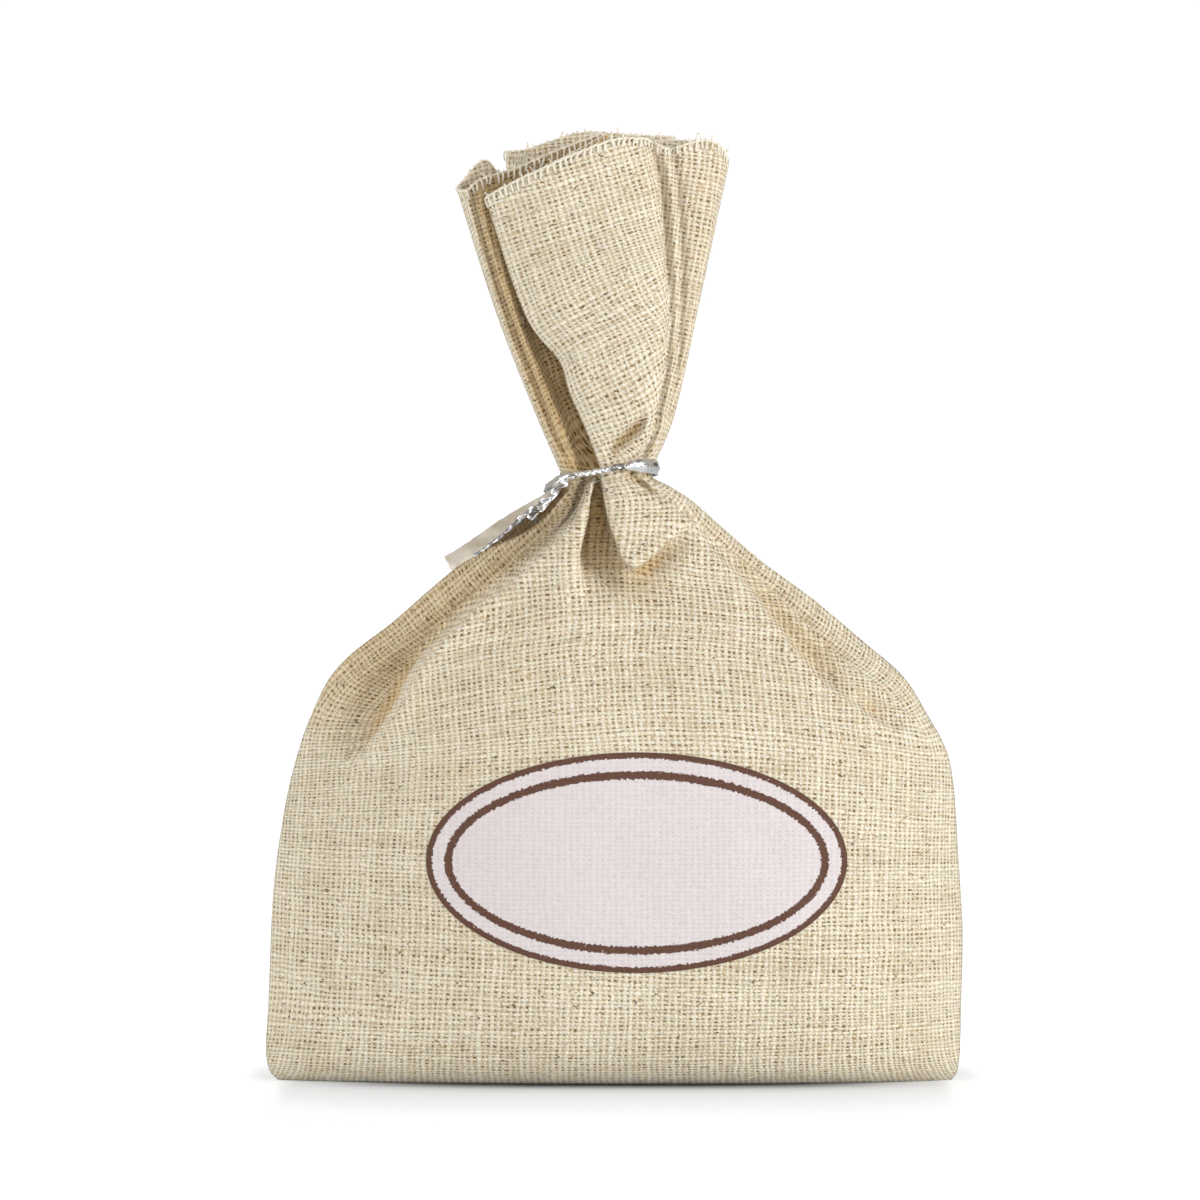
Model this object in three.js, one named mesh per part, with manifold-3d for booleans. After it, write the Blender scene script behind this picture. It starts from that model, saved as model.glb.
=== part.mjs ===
// Lavender sachet: a stuffed cloth bag, gathered at the neck and closed with a foil twist tie.
// Millimetres. +Z is up, the front faces -Y, and the origin is under the middle of the base.

import * as THREE from 'three';
import Module from 'manifold-3d';

// Cloth, seams and fits
const CLOTH = 0.6;
const CLEARANCE = 0.3;
const SEAM_ALLOWANCE = 6;
const SEAM_PLIES = 2;
const SEAM_SETBACK = 1;
const SEAM_START = 4;
const SEAM_STOP = 2;

// Stuffed pouch, below the tie
const BASE_WIDTH = 100;
const BASE_DEPTH = 28;
const BASE_CORNER = 1.5;
const BASE_ROUND = 2;
const BELLY_DEPTH = 42;
const BELLY_HEIGHT = 24;
const BELLY_RISE = 26;
const SHOULDER_WIDTH = 92;
const SHOULDER_HEIGHT = 49;
const SHOULDER_ROUND = 9.5;
const SHOULDER_RUN = 21.4;
const SHOULDER_DROP = 18;
const CROWN_DROP = 15;
const CROWN_RUN = 5;

// Folds that run down from the neck, by their distance from the middle and their lower end
const SIDE_FOLD_TOP = 4;
const SIDE_FOLD_END = 36;
const SIDE_FOLD_LENGTH = 36;
const MIDDLE_FOLD_LENGTH = 17;
const BACK_FOLD_END = 18;
const BACK_FOLD_LENGTH = 26;
const FOLD_HALF_WIDTH = 1.6;
const FOLD_FADE_WIDTH = 4;

// Gathered neck
const TIE_HEIGHT = 88;
const NECK_WIDTH = 13.4;
const NECK_DEPTH = 11;
const NECK_OFFSET = -1.4;
const NECK_BELOW = 3.2;
const NECK_ABOVE = 6;
const NECK_FLARE = 2.2;
const PLEAT_COUNT = 14;
const PLEAT_DEPTH = 1.1;

// Frill, above the tie
const FRILL_LENGTH = 42;
const FRILL_WIDTH = 42;
const FRILL_DEPTH = 18;
const FRILL_OFFSET = -3.4;
const FRILL_ROOT_WIDTH = 18.8;
const FRILL_ROOT_DEPTH = 12.6;
const FRONT_DIP = 9;
const BACK_DIP = 3.5;
const ROLL_LEFT = 13;
const ROLL_RIGHT = 15.5;
const BACK_PLEAT = 7;
const VALLEY_WIDTH = 2.2;

// Oval print on the front
const PRINT_WIDTH = 58.6;
const PRINT_HEIGHT = 30.8;
const PRINT_X = 3.3;
const PRINT_Z = 33.1;
const PRINT_THICKNESS = 0.25;

// Lavender fill
const FILL_DROP = 14;
const FILL_PLAY = 0.6;

// Twist tie
const WIRE_RADIUS = 0.2;
const WIRE_PLAY = 0.15;
const FILM = 0.2;
const FILM_EDGE = 0.12;
const BAND_WIDTH = 2.4;
const TAIL_WIDTH = 3.4;
const TWIST_WIDTH = 1.5;
const TWIST_RADIUS = 0.9;
const TWIST_LENGTH = 5.5;
const TWIST_TURNS = 1.5;
const LONG_TAIL = 22;
const SHORT_TAIL = 7;
const TAIL_WIDENING = 3;
const BAND_GAP = 1.6;
const KNOT_BEARING = 240;
const TAIL_SLOPE = 35;
const TAIL_TURN = 6;

// Shape of a stuffed section between its two seams
const FULLNESS = 2.3;
const EDGE_ROUNDNESS = 0.8;
const BELLY_SWELL = 0.6;
const FOLD_SHARE = 0.42;
const VALLEY_SHARE = 0.5;

// Fineness of the facets
const PANEL_COLUMNS = 24;
const FRILL_COLUMNS = 28;
const FRILL_ROWS = 6;
const POUCH_ROWS = 16;
const SEAM_ROWS = 14;
const PLEAT_FACETS = 4;
const PRINT_SPOKES = 40;
const PRINT_RINGS = 4;
const BAND_STEPS = 40;
const TAIL_STEPS = 26;
const SHORT_TAIL_STEPS = 14;
const WIRE_SIDES = 8;

const { degToRad, lerp, smoothstep } = THREE.MathUtils;
const FRONT = -1;
const BACK = 1;
const LEFT = -1;
const RIGHT = 1;

const wireBore = WIRE_RADIUS + WIRE_PLAY;
const strandRadius = wireBore + FILM;
const seamGap = CLEARANCE / 2;
const pouchTop = TIE_HEIGHT - NECK_BELOW;
const gatherTop = TIE_HEIGHT + NECK_ABOVE;
const frillBottom = gatherTop + CLEARANCE;
const frillTop = frillBottom + FRILL_LENGTH;
const pouchTopWidth = NECK_WIDTH / 2 + NECK_FLARE + CLEARANCE;
const pouchTopDepth = NECK_DEPTH / 2 + NECK_FLARE / 2 + CLEARANCE;

// Side and crown lines of the pouch above its shoulder and belly, as half size against height
const shoulderLine = new THREE.CubicBezierCurve(
  new THREE.Vector2(SHOULDER_WIDTH / 2, SHOULDER_HEIGHT),
  new THREE.Vector2(SHOULDER_WIDTH / 2 - SHOULDER_ROUND / 6, SHOULDER_HEIGHT + SHOULDER_ROUND),
  new THREE.Vector2(pouchTopWidth + SHOULDER_RUN, pouchTop - SHOULDER_DROP),
  new THREE.Vector2(pouchTopWidth, pouchTop),
);
const crownLine = new THREE.CubicBezierCurve(
  new THREE.Vector2(BELLY_DEPTH / 2, BELLY_HEIGHT),
  new THREE.Vector2(BELLY_DEPTH / 2, BELLY_HEIGHT + BELLY_RISE),
  new THREE.Vector2(pouchTopDepth + CROWN_RUN, pouchTop - CROWN_DROP),
  new THREE.Vector2(pouchTopDepth, pouchTop),
);

// A line's first value where its second reaches the given height
function atHeight(line, height) {
  let low = 0;
  let high = 1;
  while (high - low > 1e-9) {
    const middle = (low + high) / 2;
    if (line.getPoint(middle).y < height) {
      low = middle;
    } else {
      high = middle;
    }
  }
  return line.getPoint(low).x;
}

function pouchHalfWidth(z) {
  if (z > SHOULDER_HEIGHT) {
    return atHeight(shoulderLine, z);
  }
  const corner = Math.max(0, 1 - z / (2 * BASE_CORNER));
  const share = (z / SHOULDER_HEIGHT) ** 2;
  return lerp(BASE_WIDTH / 2, SHOULDER_WIDTH / 2, share) - BASE_CORNER * corner ** 2;
}

function pouchHalfDepth(z) {
  if (z > BELLY_HEIGHT) {
    return atHeight(crownLine, z);
  }
  const swell = Math.sin((Math.PI / 2) * (z / BELLY_HEIGHT) ** BELLY_SWELL);
  return lerp(BASE_DEPTH / 2, BELLY_DEPTH / 2, swell);
}

function pouchMiddle(z) {
  return NECK_OFFSET * smoothstep(z, SHOULDER_HEIGHT, pouchTop);
}

// How full a stuffed section is, from 0 at a seam to 1 in the middle
function fullness(u) {
  return Math.max(0, 1 - Math.abs(u) ** FULLNESS) ** EDGE_ROUNDNESS;
}

// Folds of the pouch: they start at the neck and fade out down the shoulders
const frontFolds = [
  { top: -SIDE_FOLD_TOP, end: -SIDE_FOLD_END, length: SIDE_FOLD_LENGTH },
  { top: 0, end: 0, length: MIDDLE_FOLD_LENGTH },
  { top: SIDE_FOLD_TOP, end: SIDE_FOLD_END, length: SIDE_FOLD_LENGTH },
];
const backFolds = [
  { top: -SIDE_FOLD_TOP, end: -BACK_FOLD_END, length: BACK_FOLD_LENGTH },
  { top: SIDE_FOLD_TOP, end: BACK_FOLD_END, length: BACK_FOLD_LENGTH },
];

function foldShare(folds, x, z) {
  let share = 0;
  for (const fold of folds) {
    const down = (pouchTop - z) / fold.length;
    if (down < 1) {
      const across = x - pouchMiddle(z) - lerp(fold.top, fold.end, down);
      const halfWidth = lerp(FOLD_HALF_WIDTH, FOLD_FADE_WIDTH, down);
      share += FOLD_SHARE * (1 - down ** 2) * Math.exp(-((across / halfWidth) ** 2));
    }
  }
  return Math.min(share, FOLD_SHARE);
}

// A point of the pouch: u runs from seam to seam, and spread draws the base in to the bottom seam
function pouchPoint(side, u, level, inset, gap) {
  const z = Math.max(level.z, inset);
  const halfWidth = pouchHalfWidth(z) - inset;
  const x = pouchMiddle(z) + u * halfWidth;
  const folds = foldShare(side === FRONT ? frontFolds : backFolds, x, z);
  const depth = (pouchHalfDepth(z) - inset) * fullness(u) * (1 - folds) * level.spread;
  return new THREE.Vector3(x, side * (gap + depth), z);
}

// Seam-to-seam steps, closer together near the seams
function acrossSteps(columns) {
  return Array.from({ length: columns + 1 }, (_, i) => Math.sin(Math.PI * (i / columns - 0.5)));
}

function evenSteps(count, from, to) {
  return Array.from({ length: count + 1 }, (_, i) => lerp(from, to, i / count));
}

// Triangles of a grid of points, rows first
function gridTriangles(rows, flipped) {
  const triangles = [];
  for (let r = 0; r + 1 < rows.length; r += 1) {
    for (let c = 0; c + 1 < rows[r].length; c += 1) {
      const [a, b] = [rows[r][c], rows[r][c + 1]];
      const [d, e] = [rows[r + 1][c], rows[r + 1][c + 1]];
      triangles.push(flipped ? [a, e, b] : [a, b, e], flipped ? [a, d, e] : [a, e, d]);
    }
  }
  return triangles;
}

// Triangles of a strip between two lines of points
function stripTriangles(first, second) {
  return gridTriangles([first, second], true);
}

// The edge of a grid, all the way round
function gridEdge(rows) {
  const last = rows.length - 1;
  const end = rows[0].length - 1;
  const right = rows.map((row) => row[end]);
  const left = rows.map((row) => row[0]).reverse();
  return [...rows[0], ...right.slice(1), ...[...rows[last]].reverse().slice(1), ...left.slice(1)];
}

// A sheet with a thickness: an outer and an inner face, joined round the edge
function sheetTriangles(outer, inner) {
  return [
    ...gridTriangles(outer, false),
    ...gridTriangles(inner, true),
    ...stripTriangles(gridEdge(outer), gridEdge(inner)),
  ];
}

const closeRing = (ring) => [...ring, ring[0]];

function capTriangles(ring, flipped) {
  const middle = ring.reduce((sum, point) => sum.add(point), new THREE.Vector3()).divideScalar(ring.length);
  return ring.map((point, i) => {
    const next = ring[(i + 1) % ring.length];
    return flipped ? [middle, next, point] : [middle, point, next];
  });
}

// A solid drawn through closed rings of points
function loftTriangles(rings) {
  return [
    ...gridTriangles(rings.map(closeRing), false),
    ...capTriangles(rings[0], true),
    ...capTriangles(rings[rings.length - 1], false),
  ];
}

// A tube with open ends, between outer rings and the rings of its bore
function tubeTriangles(outer, bore) {
  const last = outer.length - 1;
  return [
    ...gridTriangles(outer.map(closeRing), false),
    ...gridTriangles(bore.map(closeRing), true),
    ...stripTriangles(closeRing(outer[0]), closeRing(bore[0])),
    ...stripTriangles(closeRing(bore[last]), closeRing(outer[last])),
  ];
}

// A closed geometry from triangles, with shared corners merged and its faces turned out
function closedGeometry(triangles) {
  const places = new Map();
  const positions = [];
  const indexOf = (point) => {
    const key = point.toArray().map((value) => Math.round(value * 1e4)).join(' ');
    if (!places.has(key)) {
      places.set(key, places.size);
      positions.push(point.x, point.y, point.z);
    }
    return places.get(key);
  };
  const faces = triangles
    .map((triangle) => triangle.map(indexOf))
    .filter(([a, b, c]) => a !== b && b !== c && c !== a);
  const volume = triangles.reduce((sum, [a, b, c]) => sum + a.dot(b.clone().cross(c)), 0);
  const geometry = new THREE.BufferGeometry();
  geometry.setAttribute('position', new THREE.Float32BufferAttribute(positions, 3));
  geometry.setIndex(faces.flatMap((face) => (volume < 0 ? face.reverse() : face)));
  geometry.computeVertexNormals();
  return geometry;
}

const wasm = await Module();
wasm.setup();

function toManifold(geometry) {
  return new wasm.Manifold(new wasm.Mesh({
    numProp: 3,
    vertProperties: Float32Array.from(geometry.getAttribute('position').array),
    triVerts: Uint32Array.from(geometry.getIndex().array),
  }));
}

function fromManifold(manifold) {
  const mesh = manifold.getMesh();
  const geometry = new THREE.BufferGeometry();
  geometry.setAttribute('position', new THREE.BufferAttribute(mesh.vertProperties, mesh.numProp));
  geometry.setIndex(new THREE.BufferAttribute(mesh.triVerts, 1));
  geometry.computeVertexNormals();
  return geometry;
}

// Levels of the pouch: over the base from the bottom seam, then up the wall
const baseLevels = [0, 0.5, 1].map((spread) => ({ z: 0, spread }));
const wallLevels = [
  { z: BASE_ROUND, spread: 1 },
  ...evenSteps(POUCH_ROWS, BASE_ROUND, pouchTop).slice(1).map((z) => ({ z, spread: 1 })),
];

// Front and back panels of the pouch
function pouchPanel(side) {
  const face = (inset) => [...baseLevels, ...wallLevels].map((level) =>
    acrossSteps(PANEL_COLUMNS).map((u) => pouchPoint(side, u, level, inset, seamGap)));
  return closedGeometry(sheetTriangles(face(0), face(CLOTH)));
}

// A turned-in seam: a flat strip of both plies just inside the edge of the panels
function seamStrip(side, bottom, top, middle, halfWidth, grow) {
  const thickness = (SEAM_PLIES * CLOTH) / 2 + grow;
  const rings = evenSteps(SEAM_ROWS, bottom - grow, top + grow).map((z) => {
    const outer = halfWidth(z) - CLOTH - SEAM_SETBACK + (grow > 0 ? SEAM_SETBACK + CLOTH : 0);
    const inner = halfWidth(z) - CLOTH - SEAM_SETBACK - SEAM_ALLOWANCE - grow;
    return [[inner, -thickness], [outer, -thickness], [outer, thickness], [inner, thickness]]
      .map(([x, y]) => new THREE.Vector3(middle(z) + side * x, y, z));
  });
  return closedGeometry(loftTriangles(rings));
}

function pouchSeam(side, grow) {
  return seamStrip(side, SEAM_START, pouchTop - SEAM_STOP, pouchMiddle, pouchHalfWidth, grow);
}

// Dried buds that fill the pouch up to the foot of the neck, round the two seams
function lavenderFill() {
  const inset = CLOTH + FILL_PLAY;
  const across = acrossSteps(PANEL_COLUMNS);
  const top = { z: pouchTop - FILL_DROP, spread: 1 };
  const floor = { z: inset, spread: 1 };
  const levels = [floor, ...wallLevels.filter((level) => level.z < top.z), top];
  const rings = levels.map((level) => {
    const line = (side) => across.map((u) => pouchPoint(side, u, level, inset, 0));
    return [...line(FRONT), ...line(BACK).reverse().slice(1, -1)];
  });
  const heap = toManifold(closedGeometry(loftTriangles(rings)));
  const seams = [LEFT, RIGHT].map((side) => toManifold(pouchSeam(side, CLEARANCE)));
  return fromManifold(heap.subtract(seams[0]).subtract(seams[1]));
}

// Thin oval of print, lying on the front of the belly
function ovalPrint() {
  const face = (lift) => evenSteps(PRINT_RINGS, 0, 1).map((share) =>
    evenSteps(PRINT_SPOKES, 0, 2 * Math.PI).slice(0, -1).map((angle) => {
      const x = PRINT_X + (PRINT_WIDTH / 2) * share * Math.cos(angle);
      const z = PRINT_Z + (PRINT_HEIGHT / 2) * share * Math.sin(angle);
      const u = (x - pouchMiddle(z)) / pouchHalfWidth(z);
      const point = pouchPoint(FRONT, u, { z, spread: 1 }, 0, seamGap);
      return point.setY(point.y - lift);
    }));
  const under = face(CLEARANCE);
  const over = face(CLEARANCE + PRINT_THICKNESS);
  return closedGeometry([
    ...gridTriangles(under.map(closeRing), true),
    ...gridTriangles(over.map(closeRing), false),
    ...stripTriangles(closeRing(over[PRINT_RINGS]), closeRing(under[PRINT_RINGS])).map((face3) => face3.reverse()),
  ]);
}

// Pleats of the gathered neck: a stem with grooves all round, drawn in where the tie goes round it
function neckGather() {
  const bandReach = BAND_WIDTH / 2 + CLEARANCE;
  const levels = [
    { z: pouchTop + CLEARANCE, flare: NECK_FLARE, middle: NECK_OFFSET },
    { z: TIE_HEIGHT - bandReach, flare: 0, middle: NECK_OFFSET },
    { z: TIE_HEIGHT + bandReach, flare: 0, middle: NECK_OFFSET },
    { z: gatherTop, flare: (FRILL_ROOT_WIDTH - NECK_WIDTH) / 2, middle: NECK_OFFSET },
  ];
  const facets = PLEAT_COUNT * PLEAT_FACETS;
  const rings = levels.map(({ z, flare, middle }) =>
    evenSteps(facets, 0, 2 * Math.PI).slice(0, -1).map((angle) => {
      const pleat = PLEAT_DEPTH * (0.5 - 0.5 * Math.cos(PLEAT_COUNT * angle));
      const alongX = NECK_WIDTH / 2 + flare - pleat;
      const alongY = NECK_DEPTH / 2 + flare / 2 - pleat;
      return new THREE.Vector3(middle + alongX * Math.cos(angle), alongY * Math.sin(angle), z);
    }));
  return closedGeometry(loftTriangles(rings));
}

// The frill opens steadily with height
function frillShare(z) {
  return (z - frillBottom) / FRILL_LENGTH;
}

function frillHalfWidth(z) {
  return lerp(FRILL_ROOT_WIDTH, FRILL_WIDTH, frillShare(z)) / 2;
}

function frillHalfDepth(z) {
  return lerp(FRILL_ROOT_DEPTH, FRILL_DEPTH, frillShare(z)) / 2;
}

function frillMiddle(z) {
  return lerp(NECK_OFFSET, FRILL_OFFSET, frillShare(z));
}

function frillEdge(side, u) {
  return frillTop - (side === FRONT ? (FRONT_DIP * (1 - u)) / 2 : BACK_DIP * u ** 2);
}

// Front and back of the frill: a wide roll between two valleys in front, and pleats behind
function frillPanel(side) {
  const valleys = side === FRONT ? [-ROLL_LEFT, ROLL_RIGHT] : [-BACK_PLEAT, BACK_PLEAT];
  const face = (inset) => evenSteps(FRILL_ROWS, 0, 1).map((share) =>
    acrossSteps(FRILL_COLUMNS).map((u) => {
      const z = lerp(frillBottom, frillEdge(side, u), share);
      const x = u * (frillHalfWidth(z) - inset);
      const opened = (x * FRILL_WIDTH) / (2 * frillHalfWidth(z));
      const sunk = valleys.reduce(
        (sum, valley) => sum + VALLEY_SHARE * Math.exp(-(((opened - valley) / VALLEY_WIDTH) ** 2)),
        0,
      );
      const depth = (frillHalfDepth(z) - inset) * fullness(u) * (1 - sunk);
      return new THREE.Vector3(frillMiddle(z) + x, side * (seamGap + depth), z);
    }));
  return closedGeometry(sheetTriangles(face(0), face(CLOTH)));
}

function frillSeam(side) {
  const top = Math.min(frillEdge(FRONT, side), frillEdge(BACK, side)) - SEAM_STOP;
  return seamStrip(side, frillBottom, top, frillMiddle, frillHalfWidth, 0);
}

// Section of the tie: a film ribbon of the given width, thicker over its wire, with the wire's bore
function ribbonSection(width) {
  const wing = width / 2;
  const core = Math.min(strandRadius, wing);
  return [
    [FILM_EDGE, wing], [strandRadius, core / 2], [strandRadius, -core / 2], [FILM_EDGE, -wing],
    [-FILM_EDGE, -wing], [-strandRadius, -core / 2], [-strandRadius, core / 2], [-FILM_EDGE, wing],
  ];
}

function roundSection(radius) {
  return evenSteps(WIRE_SIDES, 0, 2 * Math.PI).slice(0, -1).map((angle) => {
    const turned = angle + Math.PI / 2 - Math.PI / WIRE_SIDES;
    return [radius * Math.sin(turned), radius * Math.cos(turned)];
  });
}

// Rings of a section carried along stations, each with a point, a normal and a cross direction
function carry(stations, section) {
  return stations.map((station) => section(station).map(([out, over]) =>
    station.point.clone().addScaledVector(station.normal, out).addScaledVector(station.cross, over)));
}

function ribbonGeometry(stations) {
  const outer = carry(stations, (station) => ribbonSection(station.width));
  return closedGeometry(tubeTriangles(outer, carry(stations, () => roundSection(wireBore))));
}

function wireGeometry(stations) {
  return closedGeometry(loftTriangles(carry(stations, () => roundSection(WIRE_RADIUS))));
}

// The band runs once round the neck and stops on both sides of the knot
const bandRadiusX = NECK_WIDTH / 2 + CLEARANCE + strandRadius;
const bandRadiusY = NECK_DEPTH / 2 + CLEARANCE + strandRadius;

function bandPoint(angle) {
  return new THREE.Vector3(
    NECK_OFFSET + bandRadiusX * Math.cos(angle),
    bandRadiusY * Math.sin(angle),
    TIE_HEIGHT,
  );
}

function bandNormal(angle) {
  return new THREE.Vector3(Math.cos(angle) / bandRadiusX, Math.sin(angle) / bandRadiusY, 0).normalize();
}

const knotAngle = degToRad(KNOT_BEARING);
const gapAngle = BAND_GAP / (bandRadiusX + bandRadiusY);
const bandStations = evenSteps(BAND_STEPS, knotAngle + gapAngle, knotAngle + 2 * Math.PI - gapAngle)
  .map((angle) => ({
    point: bandPoint(angle),
    normal: bandNormal(angle),
    cross: new THREE.Vector3(0, 0, 1),
    width: BAND_WIDTH,
  }));

// The tails leave the knot in front of the band, twisted round each other, and run down the left shoulder
const knotReach = strandRadius + CLEARANCE + TWIST_RADIUS + strandRadius;
const knot = bandPoint(knotAngle).addScaledVector(bandNormal(knotAngle), knotReach);
const tailSlope = degToRad(TAIL_SLOPE);
const tailTurn = degToRad(TAIL_TURN);
const tailAlong = new THREE.Vector3(
  -Math.cos(tailSlope) * Math.cos(tailTurn),
  Math.cos(tailSlope) * Math.sin(tailTurn),
  -Math.sin(tailSlope),
);
const tailNormal = new THREE.Vector3(0, -1, 0).addScaledVector(tailAlong, tailAlong.y).normalize();
const tailCross = tailAlong.clone().cross(tailNormal);

function tailStations(length, steps, phase, widens) {
  return evenSteps(steps, 0, length).map((along) => {
    const turn = phase + 2 * Math.PI * TWIST_TURNS * Math.min(along / TWIST_LENGTH, 1);
    const opened = widens ? smoothstep(along, SHORT_TAIL, SHORT_TAIL + TAIL_WIDENING) : 0;
    const reach = TWIST_RADIUS * (1 - opened);
    const point = knot.clone()
      .addScaledVector(tailAlong, along)
      .addScaledVector(tailNormal, reach * Math.cos(turn))
      .addScaledVector(tailCross, reach * Math.sin(turn));
    return {
      point,
      normal: tailNormal,
      cross: tailCross,
      width: lerp(TWIST_WIDTH, TAIL_WIDTH, opened),
    };
  });
}

const longStations = tailStations(LONG_TAIL, TAIL_STEPS, 0, true);
const shortStations = tailStations(SHORT_TAIL, SHORT_TAIL_STEPS, Math.PI, false);

const materials = {
  cloth: { color: 0xd8c9a6, roughness: 0.95, metalness: 0 },
  lavender: { color: 0x8c7fa6, roughness: 1, metalness: 0 },
  ink: { color: 0xe2d8dc, roughness: 0.85, metalness: 0 },
  foil: { color: 0xd6d4d0, roughness: 0.25, metalness: 1 },
  wire: { color: 0xa9a9a7, roughness: 0.35, metalness: 1 },
};

const sachet = new THREE.Group();

function addPiece(name, geometry, finish) {
  const mesh = new THREE.Mesh(geometry, new THREE.MeshStandardMaterial(materials[finish]));
  mesh.name = name;
  sachet.add(mesh);
}

addPiece('front_panel', pouchPanel(FRONT), 'cloth');
addPiece('back_panel', pouchPanel(BACK), 'cloth');
addPiece('left_side_seam', pouchSeam(LEFT, 0), 'cloth');
addPiece('right_side_seam', pouchSeam(RIGHT, 0), 'cloth');
addPiece('lavender_fill', lavenderFill(), 'lavender');
addPiece('oval_print', ovalPrint(), 'ink');
addPiece('neck_gather', neckGather(), 'cloth');
addPiece('front_frill', frillPanel(FRONT), 'cloth');
addPiece('back_frill', frillPanel(BACK), 'cloth');
addPiece('left_frill_seam', frillSeam(LEFT), 'cloth');
addPiece('right_frill_seam', frillSeam(RIGHT), 'cloth');
addPiece('tie_band', ribbonGeometry(bandStations), 'foil');
addPiece('tie_band_wire', wireGeometry(bandStations), 'wire');
addPiece('long_tail', ribbonGeometry(longStations), 'foil');
addPiece('long_tail_wire', wireGeometry(longStations), 'wire');
addPiece('short_tail', ribbonGeometry(shortStations), 'foil');
addPiece('short_tail_wire', wireGeometry(shortStations), 'wire');

export default sachet;
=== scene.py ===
"""Looks of the lavender sachet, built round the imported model.

Shapes are worked out in millimetres, in the part's frame, and become metres when a mesh is made.
The front faces -Y, the camera looks along +Y, and the sachet stands on z = 0.
"""

import math

import bpy
import numpy as np
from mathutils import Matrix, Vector


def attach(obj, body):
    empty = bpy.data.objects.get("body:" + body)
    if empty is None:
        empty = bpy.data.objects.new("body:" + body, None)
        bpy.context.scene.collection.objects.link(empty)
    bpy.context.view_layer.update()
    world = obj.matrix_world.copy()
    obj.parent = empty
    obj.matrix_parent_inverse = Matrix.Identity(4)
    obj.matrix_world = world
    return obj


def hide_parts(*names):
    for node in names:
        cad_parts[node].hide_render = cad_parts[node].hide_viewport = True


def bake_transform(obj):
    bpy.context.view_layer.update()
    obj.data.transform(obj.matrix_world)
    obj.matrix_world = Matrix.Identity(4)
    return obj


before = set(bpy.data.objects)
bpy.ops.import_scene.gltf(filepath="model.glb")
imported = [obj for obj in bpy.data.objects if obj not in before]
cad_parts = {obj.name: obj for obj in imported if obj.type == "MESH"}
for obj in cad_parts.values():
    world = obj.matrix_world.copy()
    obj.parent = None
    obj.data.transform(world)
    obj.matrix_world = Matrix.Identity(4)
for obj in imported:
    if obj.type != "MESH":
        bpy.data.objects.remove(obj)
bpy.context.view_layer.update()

MM = 0.001

# Outline of the bag in the photograph: height, then x of each side
LEFT_SIDE = [
    (0, -48.6), (1.2, -49.8), (4, -50.4), (12, -50.0), (26, -49.4), (40, -47.5), (49, -45.2), (55, -42.8),
    (58, -41.2), (61, -38.6), (66, -32.2), (72, -25.3), (78, -17.8), (83, -11.2), (85.4, -9.0), (87.8, -7.9),
    (90.2, -9.0), (95, -11.1), (104, -14.8), (115, -18.6), (124, -21.6), (129, -22.8), (138, -23.0),
]
RIGHT_SIDE = [
    (0, 48.6), (1.2, 49.4), (4, 49.8), (12, 50.0), (20, 50.2), (33, 49.5), (41, 49.0), (46, 48.3), (49, 47.2),
    (52, 45.5), (58, 41.8), (63.5, 35.6), (69.3, 28.7), (75, 21.0), (80.8, 14.3), (83.7, 11.0), (85.4, 8.4),
    (87.8, 5.2), (90.2, 6.9), (95, 8.3), (104, 10.4), (112.5, 12.4), (124, 15.0), (129, 16.2), (138, 16.4),
]
# Half depth of the stuffed part against height: its lower part, then the front and the back
LOWER_DEPTH = [
    (0, 7.0), (0.3, 9.0), (1.0, 12.0), (2.2, 14.8), (4, 16.8), (7, 18.6), (14, 20.4), (24, 21.0), (34, 20.8),
]
FRONT_DEPTH = LOWER_DEPTH + [
    (45, 19.4), (55, 16.9), (64, 14.0), (72, 11.4), (79, 8.9), (84, 6.8), (87.8, 5.2), (92, 6.0),
]
BACK_DEPTH = LOWER_DEPTH + [
    (45, 19.2), (55, 16.4), (64, 13.2), (72, 10.4), (79, 8.0), (84, 6.4), (87.8, 5.2), (92, 5.8),
]
TIE_HEIGHT = 87.8
# Thickness of the cloth
CLOTH = 0.45

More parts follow.
